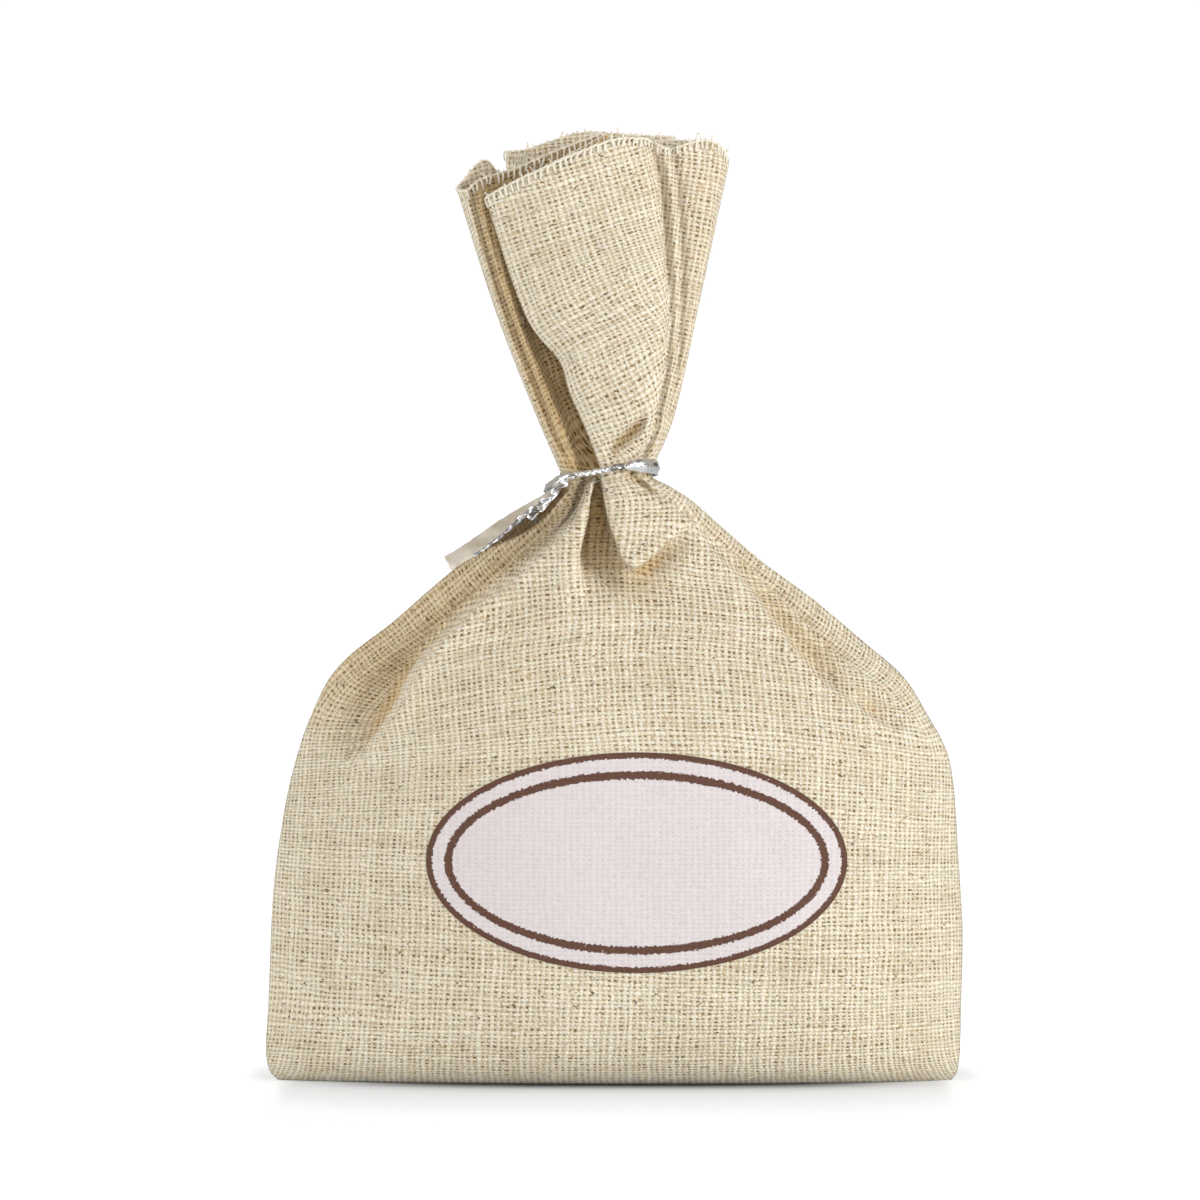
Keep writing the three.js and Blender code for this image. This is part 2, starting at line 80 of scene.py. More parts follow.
# Sections of the gathered top: for each point round the cloth, its place at the tie, at two heights above
# it and at the mouth, then the height of the mouth's edge there. The front cloth runs right behind the
# roll, folds back to the roll's left edge and comes forward over it.
SECTION_HEIGHTS = (87.8, 95.0, 110.0, 132.0)
LEFT_SEAM = ((-7.9, 0.2), (-11.0, 0.4), (-16.9, 0.5), (-23.9, 0.5), 128.4)
RIGHT_SEAM = ((5.2, 0.2), (8.3, 0.2), (11.7, 0.2), (16.4, 0.2), 132.4)
FRONT_SECTIONS = [
    LEFT_SEAM,
    ((-7.4, -1.7), (-10.6, -2.3), (-16.1, -2.4), (-22.4, -2.2), 128.2),
    ((-5.8, -3.4), (-8.2, -3.4), (-14.0, -2.4), (-19.4, -1.6), 130.0),
    ((-4.2, -1.4), (-6.4, -0.6), (-12.0, -0.1), (-14.4, -0.7), 131.4),
    ((-2.8, -0.5), (-4.4, 0.4), (-7.0, 0.2), (-6.2, -0.8), 134.8),
    ((-1.4, -1.4), (-3.0, -1.0), (-4.6, -1.6), (-1.4, -2.2), 136.3),
    ((-1.6, -2.6), (-3.4, -2.7), (-7.8, -3.0), (-7.6, -3.4), 132.8),
    ((-1.9, -3.8), (-4.6, -4.2), (-12.5, -4.8), (-19.4, -5.4), 127.3),
    ((-1.6, -4.8), (-4.2, -5.8), (-11.6, -6.9), (-17.6, -7.6), 128.2),
    ((-0.8, -5.2), (-2.2, -6.8), (-6.4, -8.7), (-9.8, -9.6), 131.5),
    ((0.2, -5.2), (1.2, -6.8), (1.4, -8.4), (-1.4, -9.2), 135.0),
    ((1.0, -4.9), (3.6, -6.2), (5.9, -6.9), (3.6, -7.4), 135.6),
    ((1.9, -4.7), (5.6, -5.0), (7.6, -5.3), (5.6, -5.6), 134.9),
    ((2.4, -3.2), (6.4, -4.1), (8.6, -4.4), (7.4, -4.7), 134.2),
    ((3.2, -3.9), (7.0, -3.7), (9.8, -4.1), (9.8, -4.5), 134.6),
    ((4.2, -2.8), (7.6, -3.1), (10.8, -3.7), (12.4, -4.1), 135.4),
    ((4.9, -1.6), (8.1, -1.9), (11.6, -2.5), (15.0, -3.0), 134.6),
    RIGHT_SEAM,
]
BACK_SECTIONS = [
    LEFT_SEAM,
    ((-7.3, 1.6), (-10.2, 2.0), (-15.8, 1.9), (-22.2, 1.5), 129.9),
    ((-6.4, 2.6), (-8.8, 3.0), (-13.8, 2.8), (-18.6, 2.2), 132.5),
    ((-5.0, 2.4), (-6.4, 2.6), (-9.6, 2.5), (-15.4, 2.3), 129.6),
    ((-2.6, 2.5), (-3.0, 2.8), (-3.8, 2.9), (-5.4, 2.8), 131.4),
    ((-2.0, 3.2), (-2.2, 3.6), (-2.8, 3.9), (-4.2, 4.1), 132.0),
    ((-4.0, 3.8), (-5.4, 4.5), (-8.0, 4.9), (-11.5, 5.1), 133.0),
    ((-5.0, 4.3), (-6.6, 5.4), (-10.6, 6.2), (-15.8, 6.6), 133.7),
    ((-3.8, 5.0), (-5.0, 6.2), (-8.4, 7.6), (-12.5, 8.0), 134.3),
    ((-1.4, 5.3), (-1.8, 6.6), (-3.0, 8.0), (-5.0, 8.4), 136.6),
    ((1.2, 5.2), (1.9, 6.4), (2.6, 7.6), (2.4, 7.9), 136.3),
    ((3.0, 4.7), (4.4, 5.7), (6.4, 6.8), (8.4, 7.2), 135.9),
    ((1.8, 4.0), (2.6, 4.8), (3.8, 5.7), (5.0, 6.1), 135.4),
    ((0.4, 3.4), (0.6, 4.1), (0.9, 4.8), (1.0, 5.1), 135.0),
    ((2.2, 2.9), (3.2, 3.4), (4.6, 3.9), (6.0, 4.2), 135.4),
    ((3.9, 2.5), (6.1, 2.9), (9.0, 3.3), (12.2, 3.4), 135.2),
    ((4.8, 1.5), (7.7, 1.6), (11.0, 1.8), (15.2, 1.7), 133.8),
    RIGHT_SEAM,
]
# Both cloths have as many sections, at even steps of u from knot 0 at the left seam
KNOTS = len(FRONT_SECTIONS) - 1
# The roll's left edge steps in a little half way up: place, reach and distance of that push
ROLL_PUSH_X, ROLL_PUSH_Z = -9.5, 103.4
ROLL_PUSH_REACH = (3.0, 4.6)
ROLL_PUSH = 1.5


# Lines and noise


def line_through(points, at):
    """Values at the given places of a smooth line through (place, value) points, with no overshoot."""
    place, value = np.array(points, float).T
    step = np.diff(place)
    slope = np.diff(value) / step
    tangent = np.zeros_like(value)
    tangent[0], tangent[-1] = slope[0], slope[-1]
    same_way = slope[:-1] * slope[1:] > 0
    mean = 2 * slope[:-1] * slope[1:] / np.where(same_way, slope[:-1] + slope[1:], 1)
    tangent[1:-1] = np.where(same_way, mean, 0)
    at = np.clip(at, place[0], place[-1])
    i = np.clip(np.searchsorted(place, at) - 1, 0, len(step) - 1)
    t = (at - place[i]) / step[i]
    return (
        value[i] * (1 + 2 * t) * (1 - t) ** 2
        + value[i + 1] * t * t * (3 - 2 * t)
        + step[i] * (tangent[i] * t * (1 - t) ** 2 + tangent[i + 1] * t * t * (t - 1))
    )


def run_length(points):
    """Distance along a line of points, from its first one."""
    return np.concatenate([[0], np.cumsum(np.linalg.norm(np.diff(points, axis=0), axis=1))])


def smooth_path(points, count, measured=3):
    """Rows of a smooth line through the given ones, at even steps of its length in the measured columns."""
    points = np.array(points, float)
    along = run_length(points[:, :measured])
    even = np.linspace(0, along[-1], count)
    return np.array([line_through(list(zip(along, column)), even) for column in points.T]).T


def unit(vectors):
    return vectors / np.linalg.norm(vectors, axis=-1, keepdims=True)


def smoothstep(value, low, high):
    t = np.clip((value - low) / (high - low), 0, 1)
    return t * t * (3 - 2 * t)


def soft_noise(a, b, seed):
    """Smooth noise from -1 to 1 over the plane, one lump for each whole step of a and b."""
    size = 64
    lattice = np.random.default_rng(seed).uniform(-1, 1, (size, size))
    i, j = np.floor(a).astype(int), np.floor(b).astype(int)
    s, t = smoothstep(a - i, 0, 1), smoothstep(b - j, 0, 1)
    corner = lambda di, dj: lattice[(i + di) % size, (j + dj) % size]
    low = corner(0, 0) + s * (corner(1, 0) - corner(0, 0))
    high = corner(0, 1) + s * (corner(1, 1) - corner(0, 1))
    return low + t * (high - low)


def lumpy(lumps, x, z, seed):
    """Unevenness of lumps, each given by its height, its width and length, and where its noise starts."""
    return sum(
        height * soft_noise(x / width + start_x, z / length + start_z, seed + 10 * k)
        for k, (height, width, length, start_x, start_z) in enumerate(lumps)
    )


# Folds below the tie


class Fold:
    """A fold along (x, z, depth, half width) points, which sinks the cloth by the depth.

    With tuck 1 or -1 the cloth drops sharply on one side of the path and eases off from there,
    and over carries the upper edge that far across the hollow. A higher steep gives steeper walls.
    """

    SAMPLES = 140

    def __init__(self, points, tuck=0, lip=0.0, edge=0.45, over=0.0, steep=2):
        self.x, self.z, self.depth, self.width = smooth_path(points, self.SAMPLES, 2).T
        self.tuck, self.lip, self.edge, self.over, self.steep = tuck, lip, edge, over, steep

    def bend(self, x, z):
        """How far the cloth at each (x, z) sinks, and how far it slides in x and in z."""
        dx = x[:, None] - self.x
        dz = z[:, None] - self.z
        nearest = np.argmin(dx * dx + dz * dz, axis=1)
        row = np.arange(len(x))
        dx, dz = dx[row, nearest], dz[row, nearest]
        away = np.hypot(dx, dz)
        depth, width = self.depth[nearest], self.width[nearest]
        if not self.tuck:
            return depth * np.exp(-((away / width) ** self.steep)), 0, 0
        along_x = np.gradient(self.x)[nearest]
        along_z = np.gradient(self.z)[nearest]
        length = np.hypot(along_x, along_z)
        across_x, across_z = -along_z / length * self.tuck, along_x / length * self.tuck
        signed = away * np.sign(across_x * dx + across_z * dz)
        drop = 1 / (1 + np.exp(np.clip(-signed / self.edge, -40, 40)))
        ease = np.exp(-np.maximum(signed, 0) / width)
        reach = 2.5 * self.edge
        lip = self.lip * np.exp(-(((signed + reach) / reach) ** 2))
        slide = self.over * np.clip(depth, 0, 1) * (
            np.exp(-(((signed + self.edge) / reach) ** 2)) - np.exp(-(((signed - self.edge) / reach) ** 2))
        )
        return depth * (drop * ease - lip), slide * across_x, slide * across_z


def folded(folds, x, z):
    """How far a grid of cloth sinks in all the folds together, and slides in x and in z."""
    bends = [fold.bend(x.ravel(), z.ravel()) for fold in folds]
    return [sum((bend[part] for bend in bends), np.zeros(x.size)).reshape(x.shape) for part in range(3)]


LEFT_TUCK = [
    (-4.0, 87.0, 3.4, 1.0), (-5.0, 84.0, 4.0, 1.4), (-8.2, 79.6, 4.8, 2.6), (-13.5, 74.1, 6.0, 4.0),
    (-20.2, 69.0, 8.0, 5.2), (-25.2, 64.2, 9.5, 5.4), (-28.6, 60.3, 9.5, 5.6), (-31.6, 54.6, 8.0, 5.6),
    (-34.6, 49.8, 4.5, 5.0), (-37.6, 45.5, 0.0, 5.0),
]
RIGHT_TUCK = [
    (8.6, 83.4, 0.0, 1.6), (10.8, 81.3, 1.0, 2.0), (13.9, 77.0, 2.4, 2.4), (18.5, 72.2, 4.2, 2.8),
    (22.8, 66.6, 5.8, 3.2), (26.2, 62.3, 6.4, 3.4), (29.5, 58.5, 4.6, 3.2), (33.4, 55.4, 2.0, 2.6),
    (37.2, 52.5, 1.4, 2.0), (41.0, 50.4, 0.0, 2.0),
]
RIGHT_GROOVE = [
    (5.6, 85.9, 0.8, 0.5), (8.4, 83.2, 1.2, 0.6), (13.1, 79.3, 1.4, 0.7), (20.3, 73.2, 1.4, 0.75),
    (32.0, 61.6, 1.1, 0.75), (40.6, 54.8, 0.6, 0.7), (45.0, 49.6, 0.0, 0.7),
]
FRONT_FOLDS = [
    Fold(LEFT_TUCK, tuck=-1, lip=0.14, edge=0.50, over=0.6),
    Fold(RIGHT_TUCK, tuck=1, lip=0.10, edge=0.45, over=0.5),
    # Rounded edge of the left shoulder
    Fold([(-7.4, 84.5, -1.0, 1.0), (-11.2, 80.6, -1.5, 1.3), (-18.0, 75.0, -1.9, 1.6),
          (-25.4, 68.6, -2.1, 1.8), (-32.0, 62.4, -2.1, 2.0), (-37.5, 57.4, -1.6, 2.0),
          (-41.0, 51.5, -0.7, 2.2), (-43.0, 46.0, 0.0, 2.2)]),
    # Seam grooves inside the two edges
    Fold([(-7.0, 85.8, 0.5, 0.5), (-8.9, 83.2, 0.7, 0.5), (-28.1, 67.2, 0.8, 0.6),
          (-32.1, 63.6, 0.8, 0.6), (-35.9, 61.0, 0.7, 0.6), (-39.5, 58.0, 0.7, 0.6),
          (-41.8, 55.0, 0.6, 0.6), (-44.7, 47.4, 0.0, 0.6)]),
    Fold(RIGHT_GROOVE),
    # Deep hollow under the middle of the tie, steep on its left
    Fold([(-2.4, 87.2, 5.0, 0.5), (-2.5, 84.4, 10.0, 0.7), (-2.6, 80.4, 12.0, 1.3), (-2.6, 76.6, 9.0, 2.1),
          (-2.3, 73.4, 4.5, 2.5), (-2.1, 71.0, 1.6, 2.7), (-2.0, 68.0, 0.0, 3.0)], steep=4),
    # Left edge of the hollow, which hangs over it, and the lobe that hangs over it on the right
    Fold([(-3.1, 84.8, 1.0, 1.6), (-3.7, 81.4, 2.0, 2.4), (-4.5, 78.4, 2.4, 2.8), (-5.0, 75.8, 2.0, 3.0),
          (-4.9, 73.4, 1.2, 3.2), (-4.4, 71.2, 0.3, 3.0), (-3.8, 69.6, 0.0, 3.0)], tuck=1, lip=0.25, edge=0.3,
         over=0.5),
    Fold([(-1.8, 85.6, 0.8, 1.2), (-1.2, 81.6, 1.8, 1.6), (0.2, 77.6, 3.2, 2.6), (1.2, 75.2, 4.4, 3.6),
          (2.8, 74.1, 4.8, 4.2), (5.0, 75.5, 4.4, 3.8), (7.5, 77.5, 3.0, 3.2), (9.8, 79.6, 1.2, 2.4),
          (11.6, 81.4, 0.0, 1.6)], tuck=-1, lip=0.2, edge=0.35, over=0.5),
    Fold([(-3.4, 66.0, -0.5, 3.0), (3.0, 69.8, -1.0, 2.8), (8.2, 74.0, -1.0, 2.6), (12.2, 77.8, -0.4, 2.4)]),
    # Dark slit left of the narrow pleat
    Fold([(-4.7, 87.6, 5.0, 0.45), (-5.3, 84.6, 5.0, 0.6), (-6.0, 82.0, 4.6, 0.75), (-7.4, 79.9, 3.0, 0.9),
          (-10.2, 77.4, 0.8, 1.0), (-12.0, 75.8, 0.0, 1.0)], steep=3),
    # Lips of the hollow
    Fold([(-3.9, 84.4, -0.6, 0.7), (-5.4, 80.0, -1.0, 1.2), (-7.2, 75.6, -1.1, 1.9),
          (-6.6, 70.6, -0.7, 2.6)]),
    Fold([(0.6, 84.4, -0.6, 1.2), (2.2, 80.4, -0.7, 1.8), (3.4, 77.8, -0.4, 1.6)]),
    # Slit under the tie on the right
    Fold([(2.3, 88.0, 3.6, 0.45), (3.4, 86.7, 3.4, 0.5), (4.6, 85.4, 2.6, 0.55), (5.8, 84.2, 1.4, 0.6),
          (7.4, 82.4, 0.0, 0.8)], steep=3),
    # Soft dents of the belly
    Fold([(34.6, 56.2, 0.4, 1.5), (37.0, 54.4, 2.2, 1.6), (39.2, 52.8, 1.4, 1.6), (41.4, 51.0, 0.0, 1.6)]),
    Fold([(-33.0, 47.0, 0.7, 4.0), (-35.5, 38.0, 0.7, 4.5), (-36.0, 28.0, 0.0, 5.0)]),
    Fold([(26.0, 66.0, -0.4, 3.0), (33.0, 57.0, -0.5, 3.0), (41.0, 50.0, 0.0, 3.0)]),
]
FRILL_FOLDS = [
    # Dark groove right of the roll, the cord-like seam beside it, and the groove beyond
    Fold([(4.2, 89.6, 0.8, 0.5), (5.8, 95.0, 1.0, 0.55), (7.7, 105.4, 1.1, 0.6), (8.0, 112.0, 1.1, 0.6),
          (7.6, 117.3, 1.1, 0.6), (6.8, 129.0, 1.0, 0.6), (5.2, 134.6, 0.9, 0.6), (4.6, 136.6, 0.8, 0.6)]),
    Fold([(5.4, 90.2, -0.3, 0.6), (6.9, 95.5, -0.5, 0.7), (8.4, 105.4, -0.6, 0.8), (8.6, 117.0, -0.6, 0.8),
          (8.0, 128.8, -0.6, 0.8), (6.4, 135.5, -0.5, 0.8)]),
    Fold([(6.4, 91.0, 0.3, 0.5), (7.9, 95.5, 0.7, 0.5), (9.1, 105.4, 0.8, 0.5), (9.6, 117.3, 0.8, 0.5),
          (9.0, 128.6, 0.7, 0.5), (7.5, 136.0, 0.5, 0.5)]),
    # Seam groove of the left flap
    Fold([(-6.9, 90.0, 0.7, 0.4), (-8.3, 92.8, 1.0, 0.45), (-11.7, 101.3, 1.2, 0.5), (-15.1, 109.8, 1.1, 0.5),
          (-19.8, 124.8, 0.8, 0.45), (-20.4, 128.0, 0.5, 0.45)]),
    Fold([(-6.0, 90.4, -0.5, 0.5), (-7.2, 93.2, -0.8, 0.65), (-10.5, 101.7, -0.9, 0.7),
          (-13.9, 110.2, -0.7, 0.7), (-17.4, 121.0, 0.0, 0.6)]),
    # Crease across the foot of the roll
    Fold([(4.4, 96.4, 0.6, 0.9), (2.6, 93.8, 2.4, 1.0), (0.6, 92.0, 2.2, 1.0), (-1.2, 90.4, 0.6, 0.9)]),
    Fold([(4.8, 93.6, -0.5, 0.9), (2.6, 91.6, -0.9, 1.0), (1.0, 90.2, -0.4, 0.9)]),
]
BACK_TUCK = [
    (-3.0, 86.6, 3.0, 0.8), (-7.0, 80.5, 4.0, 1.8), (-14.4, 72.2, 4.8, 3.6), (-22.0, 63.6, 4.4, 5.0),
    (-27.0, 55.0, 2.4, 5.0), (-30.0, 46.0, 0.0, 4.0),
]
BACK_FOLDS = [
    Fold(BACK_TUCK, tuck=-1, lip=0.10, edge=0.8),
    Fold([(1.4, 87.0, 4.0, 0.5), (1.8, 82.0, 10.0, 1.3), (2.6, 76.0, 10.0, 2.2), (3.6, 70.0, 3.0, 2.8),
          (4.4, 64.0, 0.0, 3.0)], steep=4),
    Fold([(-0.4, 84.0, -0.6, 0.8), (-0.8, 78.0, -0.9, 1.8), (-0.2, 70.0, -0.5, 2.4)]),
    Fold([(3.6, 86.4, 2.4, 0.6), (9.0, 79.8, 2.8, 1.6), (18.0, 71.0, 3.2, 2.6), (27.0, 60.6, 2.6, 3.2),
          (34.0, 53.0, 0.0, 3.2)]),
    Fold([(-1.8, 86.8, 3.0, 0.5), (-2.8, 82.4, 3.0, 0.9), (-5.0, 77.0, 2.0, 1.6), (-7.4, 72.0, 0.0, 2.2)]),
    Fold([(-8.9, 83.2, 0.7, 0.5), (-28.1, 67.2, 0.7, 0.6), (-39.5, 58.0, 0.6, 0.6), (-44.7, 47.4, 0.0, 0.6)]),
    Fold([(8.4, 83.2, 0.7, 0.5), (20.3, 73.2, 0.7, 0.6), (40.6, 54.8, 0.5, 0.6), (45.0, 49.6, 0.0, 0.6)]),
]


# Cloth of the bag

# Powers of a section's curve, left and right in front and at the back: higher ones are fuller to the seams
FULL_LEFT, FULL_RIGHT, FULL_BACK = 2.0, 2.8, 2.3
# Heights over which the front's curve turns into the back's, and over which the seams' edges get blunter
FULL_HEIGHTS, EDGE_HEIGHTS = (60, 84), (70, 90)
EDGE_POWER, EDGE_LOSS = 0.8, 0.2
# How deep folds may press the cloth: share of its depth at the seams, what the middle adds, and the gap left
PRESS_SEAM, PRESS_MIDDLE, PRESS_GAP = 0.9, 0.6, 0.4
# Unevenness of the stuffed part and of the top, as lumpy takes it
POUCH_LUMPS = [(0.30, 13, 11, 7, 3), (0.16, 5.5, 5, 0, 0), (0.07, 2.4, 2.2, 0, 0)]
FRILL_LUMPS = [(0.28, 8, 9, 20, 0), (0.14, 3.4, 4.2, 0, 0)]


def side_x(u, z):
    """Place across the bag, u running from 0 at the left seam to 1 at the right one."""
    left = line_through(LEFT_SIDE, z)
    return left + u * (line_through(RIGHT_SIDE, z) - left)


def side_share(x, z):
    """The u of each place across the bag."""
    left = line_through(LEFT_SIDE, z)
    return (x - left) / (line_through(RIGHT_SIDE, z) - left)


def bulge(u, z, front):
    """Depth of a stuffed section from seam to seam, as a share of its middle. The right side is flatter."""
    across = 2 * u - 1
    full = np.where(across < 0, FULL_LEFT, FULL_RIGHT) if front else np.full_like(across, FULL_BACK)
    full = full + (FULL_BACK - full) * smoothstep(z, *FULL_HEIGHTS)
    edge = EDGE_POWER - EDGE_LOSS * smoothstep(z, *EDGE_HEIGHTS)
    return np.maximum(1 - np.abs(across) ** full, 0) ** edge


def pouch_points(u, z, front, spread=1.0, folds=None):
    """Points of the stuffed part, with its folds, or only the given ones, and small unevenness."""
    x = side_x(u, z)
    share = bulge(u, z, front)
    depth = line_through(FRONT_DEPTH if front else BACK_DEPTH, z) * share
    if folds is None:
        folds = FRONT_FOLDS if front else BACK_FOLDS
    sink, slide_x, slide_z = folded(folds, x, z)
    rough = lumpy(POUCH_LUMPS, x, z, 3 if front else 4)
    sink = sink - rough * smoothstep(share, 0.05, 0.5) * smoothstep(z, 0.5, 6)
    room = np.maximum(depth * (PRESS_SEAM + PRESS_MIDDLE * share) - PRESS_GAP, 0)
    pressed = room * (1 - np.exp(-np.maximum(sink, 0) / np.maximum(room, 1e-6)))
    depth = depth - np.where(sink > 0, pressed, sink * smoothstep(share, 0, 0.2))
    if front:
        x, z = x + slide_x, z + slide_z
    return x, (-depth if front else depth) * spread, z


def knots(u):
    """The four sections round each u, and their weights."""
    at = np.clip(u * KNOTS, 0, KNOTS - 1e-9)
    first = np.floor(at).astype(int)
    t = at - first
    weights = (
        (-t + 2 * t * t - t ** 3) / 2, (2 - 5 * t * t + 3 * t ** 3) / 2,
        (t + 4 * t * t - 3 * t ** 3) / 2, (t ** 3 - t * t) / 2,
    )
    picks = [np.clip(first + k - 1, 0, KNOTS) for k in range(4)]
    return picks, weights


def frill_points(u, share, sections):
    """Points of the gathered top: share runs from 0 at the tie to 1 at the mouth's edge."""
    picks, weights = knots(u)
    edge = np.array([section[-1] for section in sections])
    top = sum(weight * edge[pick] for pick, weight in zip(picks, weights))
    z = TIE_HEIGHT + share * (top - TIE_HEIGHT)
    line = lambda section, axis: line_through(
        [(height, place[axis]) for height, place in zip(SECTION_HEIGHTS, section)], z)
    columns = [np.array([line(section, axis) for section in sections]) for axis in (0, 1)]
    x, y = (
        sum(weight * np.take_along_axis(column, pick[None], 0)[0] for pick, weight in zip(picks, weights))
        for column in columns
    )
    front = sections is FRONT_SECTIONS
    if front:
        away = ((x - ROLL_PUSH_X) / ROLL_PUSH_REACH[0]) ** 2 + ((z - ROLL_PUSH_Z) / ROLL_PUSH_REACH[1]) ** 2
        x = x + ROLL_PUSH * np.exp(-away) * smoothstep(u, 0.30, 0.38)
    rough = lumpy(FRILL_LUMPS, x, z, 5 if front else 6)
    sink = rough * smoothstep(share, 0, 0.25) * smoothstep(0.5 - np.abs(u - 0.5), 0, 0.06)
    if front:
        sink = sink + folded(FRILL_FOLDS, x, z)[0]
    return x, y + (sink if front else -sink), z


# Columns of the cloth lie closer to one another at the seams: how even they are, and their places
COLUMNS, EVENNESS = 180, 0.65
EVEN = np.linspace(-1, 1, COLUMNS + 1)
COLUMN_SHARES = 0.5 + 0.5 * (EVENNESS * EVEN + (1 - EVENNESS) * np.sin(math.pi / 2 * EVEN))
BASE_ROWS = 10
WALL_HEIGHTS = np.concatenate([
    np.linspace(0, 3, 8)[:-1], np.linspace(3, 48, 52)[:-1], np.linspace(48, 76, 42)[:-1],
    np.linspace(76, TIE_HEIGHT, 28),
])
FRILL_ROWS = 72
NECK_BLEND = 2.0
TIE_ROW = BASE_ROWS + len(WALL_HEIGHTS) - 1


def sheet_points(front):
    """Grid of points of one cloth: rows from the bottom fold to the mouth, columns from seam to seam."""
    u_row = COLUMN_SHARES
    sections = FRONT_SECTIONS if front else BACK_SECTIONS
    ones = np.ones_like(u_row)
    base = [pouch_points(u_row, 0 * ones, front, spread) for spread in np.linspace(0, 1, BASE_ROWS + 1)[:-1]]
    wall = []
    for height in WALL_HEIGHTS:
        x, y, z = pouch_points(u_row, height * ones, front)
        gathered = smoothstep(height, TIE_HEIGHT - NECK_BLEND, TIE_HEIGHT)
        if gathered > 0:
            neck_x, neck_y, _ = frill_points(u_row, 0 * ones, sections)
            x, y = x + gathered * (neck_x - x), y + gathered * (neck_y - y)
        wall.append((x, y, z))
    frill = [frill_points(u_row, share * ones, sections) for share in np.linspace(0, 1, FRILL_ROWS + 1)[1:]]
    return np.array(base + wall + frill).transpose(1, 0, 2)


def face_corners(grid, front):
    """Values of a grid at the four corners of each face, turned the other way behind."""
    corners = [grid[:-1, :-1], grid[:-1, 1:], grid[1:, 1:], grid[1:, :-1]]
    if not front:
        corners[1], corners[3] = corners[3], corners[1]
    return np.stack(corners, -1)


def new_piece(name, points, faces):
    """New smooth piece of points in millimetres."""
    mesh = bpy.data.meshes.new(name)
    mesh.from_pydata((np.array(points) * MM).tolist(), [], faces)
    mesh.polygons.foreach_set("use_smooth", np.ones(len(faces), bool))
    mesh.update()
    piece = bpy.data.objects.new(name, mesh)
    bpy.context.scene.collection.objects.link(piece)
    return piece


def grid_mesh(name, points, flip):
    """Mesh of a grid of points, given as x, y and z arrays of rows by columns."""
    _, rows, columns = points.shape
    index = np.arange(rows * columns).reshape(rows, columns)
    quads = face_corners(index, not flip).reshape(-1, 4)
    return new_piece(name, points.reshape(3, -1).T, quads.tolist())


def tube_faces(rings, sides, first=0):
    """Faces of a closed tube of rings of points, numbered from the first."""
    faces = []
    for start in range(first, first + (rings - 1) * sides, sides):
        for s in range(sides):
            a, b = start + s, start + (s + 1) % sides
            faces.append((a, b, b + sides, a + sides))
    last = first + (rings - 1) * sides
    return faces + [tuple(range(first, first + sides))[::-1], tuple(range(last, last + sides))]


def ringed(name, points):
    """Closed mesh of rings of points, one ring after another."""
    rings, sides, _ = points.shape
    return new_piece(name, points.reshape(-1, 3), tube_faces(rings, sides))


def add_map(piece, name, values):
    """Keeps two values at the corners of each face as a map of the piece."""
    piece.data.uv_layers.new(name=name).data.foreach_set("uv", np.stack(values, -1).ravel())


# Flat coordinates of the cloth, in millimetres, for its weave

SLOPE_ROWS = 14


def flat_coordinates(points, column):
    """Across and along the cloth at each point of a grid, measured from one of its columns."""
    x, y, z = points
    guide = points[:, :, column]
    step = np.hypot(np.diff(x, axis=1), np.diff(y, axis=1))
    across = np.concatenate([np.zeros((len(x), 1)), np.cumsum(step, axis=1)], axis=1)
    across = across - across[:, column:column + 1]
    rise = z - z[:, column:column + 1]
    length = run_length(guide.T)
    slope = np.gradient(guide[0]) / np.maximum(np.hypot(np.gradient(guide[0]), np.gradient(guide[2])), 1e-6)
    slope = np.convolve(np.pad(slope, SLOPE_ROWS, "edge"), np.ones(2 * SLOPE_ROWS + 1), "valid")[:, None]
    slope = slope / (2 * SLOPE_ROWS + 1)
    upright = np.sqrt(1 - slope ** 2)
    return across * upright - rise * slope, length[:, None] + across * slope + rise * upright


def unfolded(points, front, kept):
    """The same grid, with only the kept folds in its walls."""
    smooth = points.copy()
    u, z = np.meshgrid(COLUMN_SHARES, WALL_HEIGHTS)
    smooth[:, BASE_ROWS:TIE_ROW + 1] = pouch_points(u, z, front, folds=kept)
    return smooth


def turned_strip(belly, strip, anchor, turn):
    """Belly coordinates that turn into the strip's own as turn goes from 0 to 1, in step at the anchor."""
    return [b + turn * (s + b[anchor] - s[anchor] - b) for b, s in zip(belly, strip)]


def path_x(path, z):
    """x of a fold's path at each height."""
    return line_through(sorted((point[1], point[0]) for point in path), z)


# How far the tuck's own weave reaches before its edge and past it
TUCK_LIP, TUCK_WALL = 1.0, 1.8
# Arch of the weft under the gathered neck, in 1/mm, and the heights over which it grows
ARCH, ARCH_HEIGHTS = 0.0060, (24, 76)
# Heights where the strips beside the seams start, where their weave is in step with the belly's, and over
# which it turns along the seams, with their columns there
STRIP_START, STRIP_STEP, STRIP_TURN = 44, 46, (42, 62)
STRIP_COLUMNS = (12, COLUMNS - 8)
# Knot of the roll's left edge, and the knots between which the weave follows it in front and behind
ROLL_KNOT = 7
ROLL_KNOTS = {True: (4.6, 12.0), False: (4.5, 13.0)}


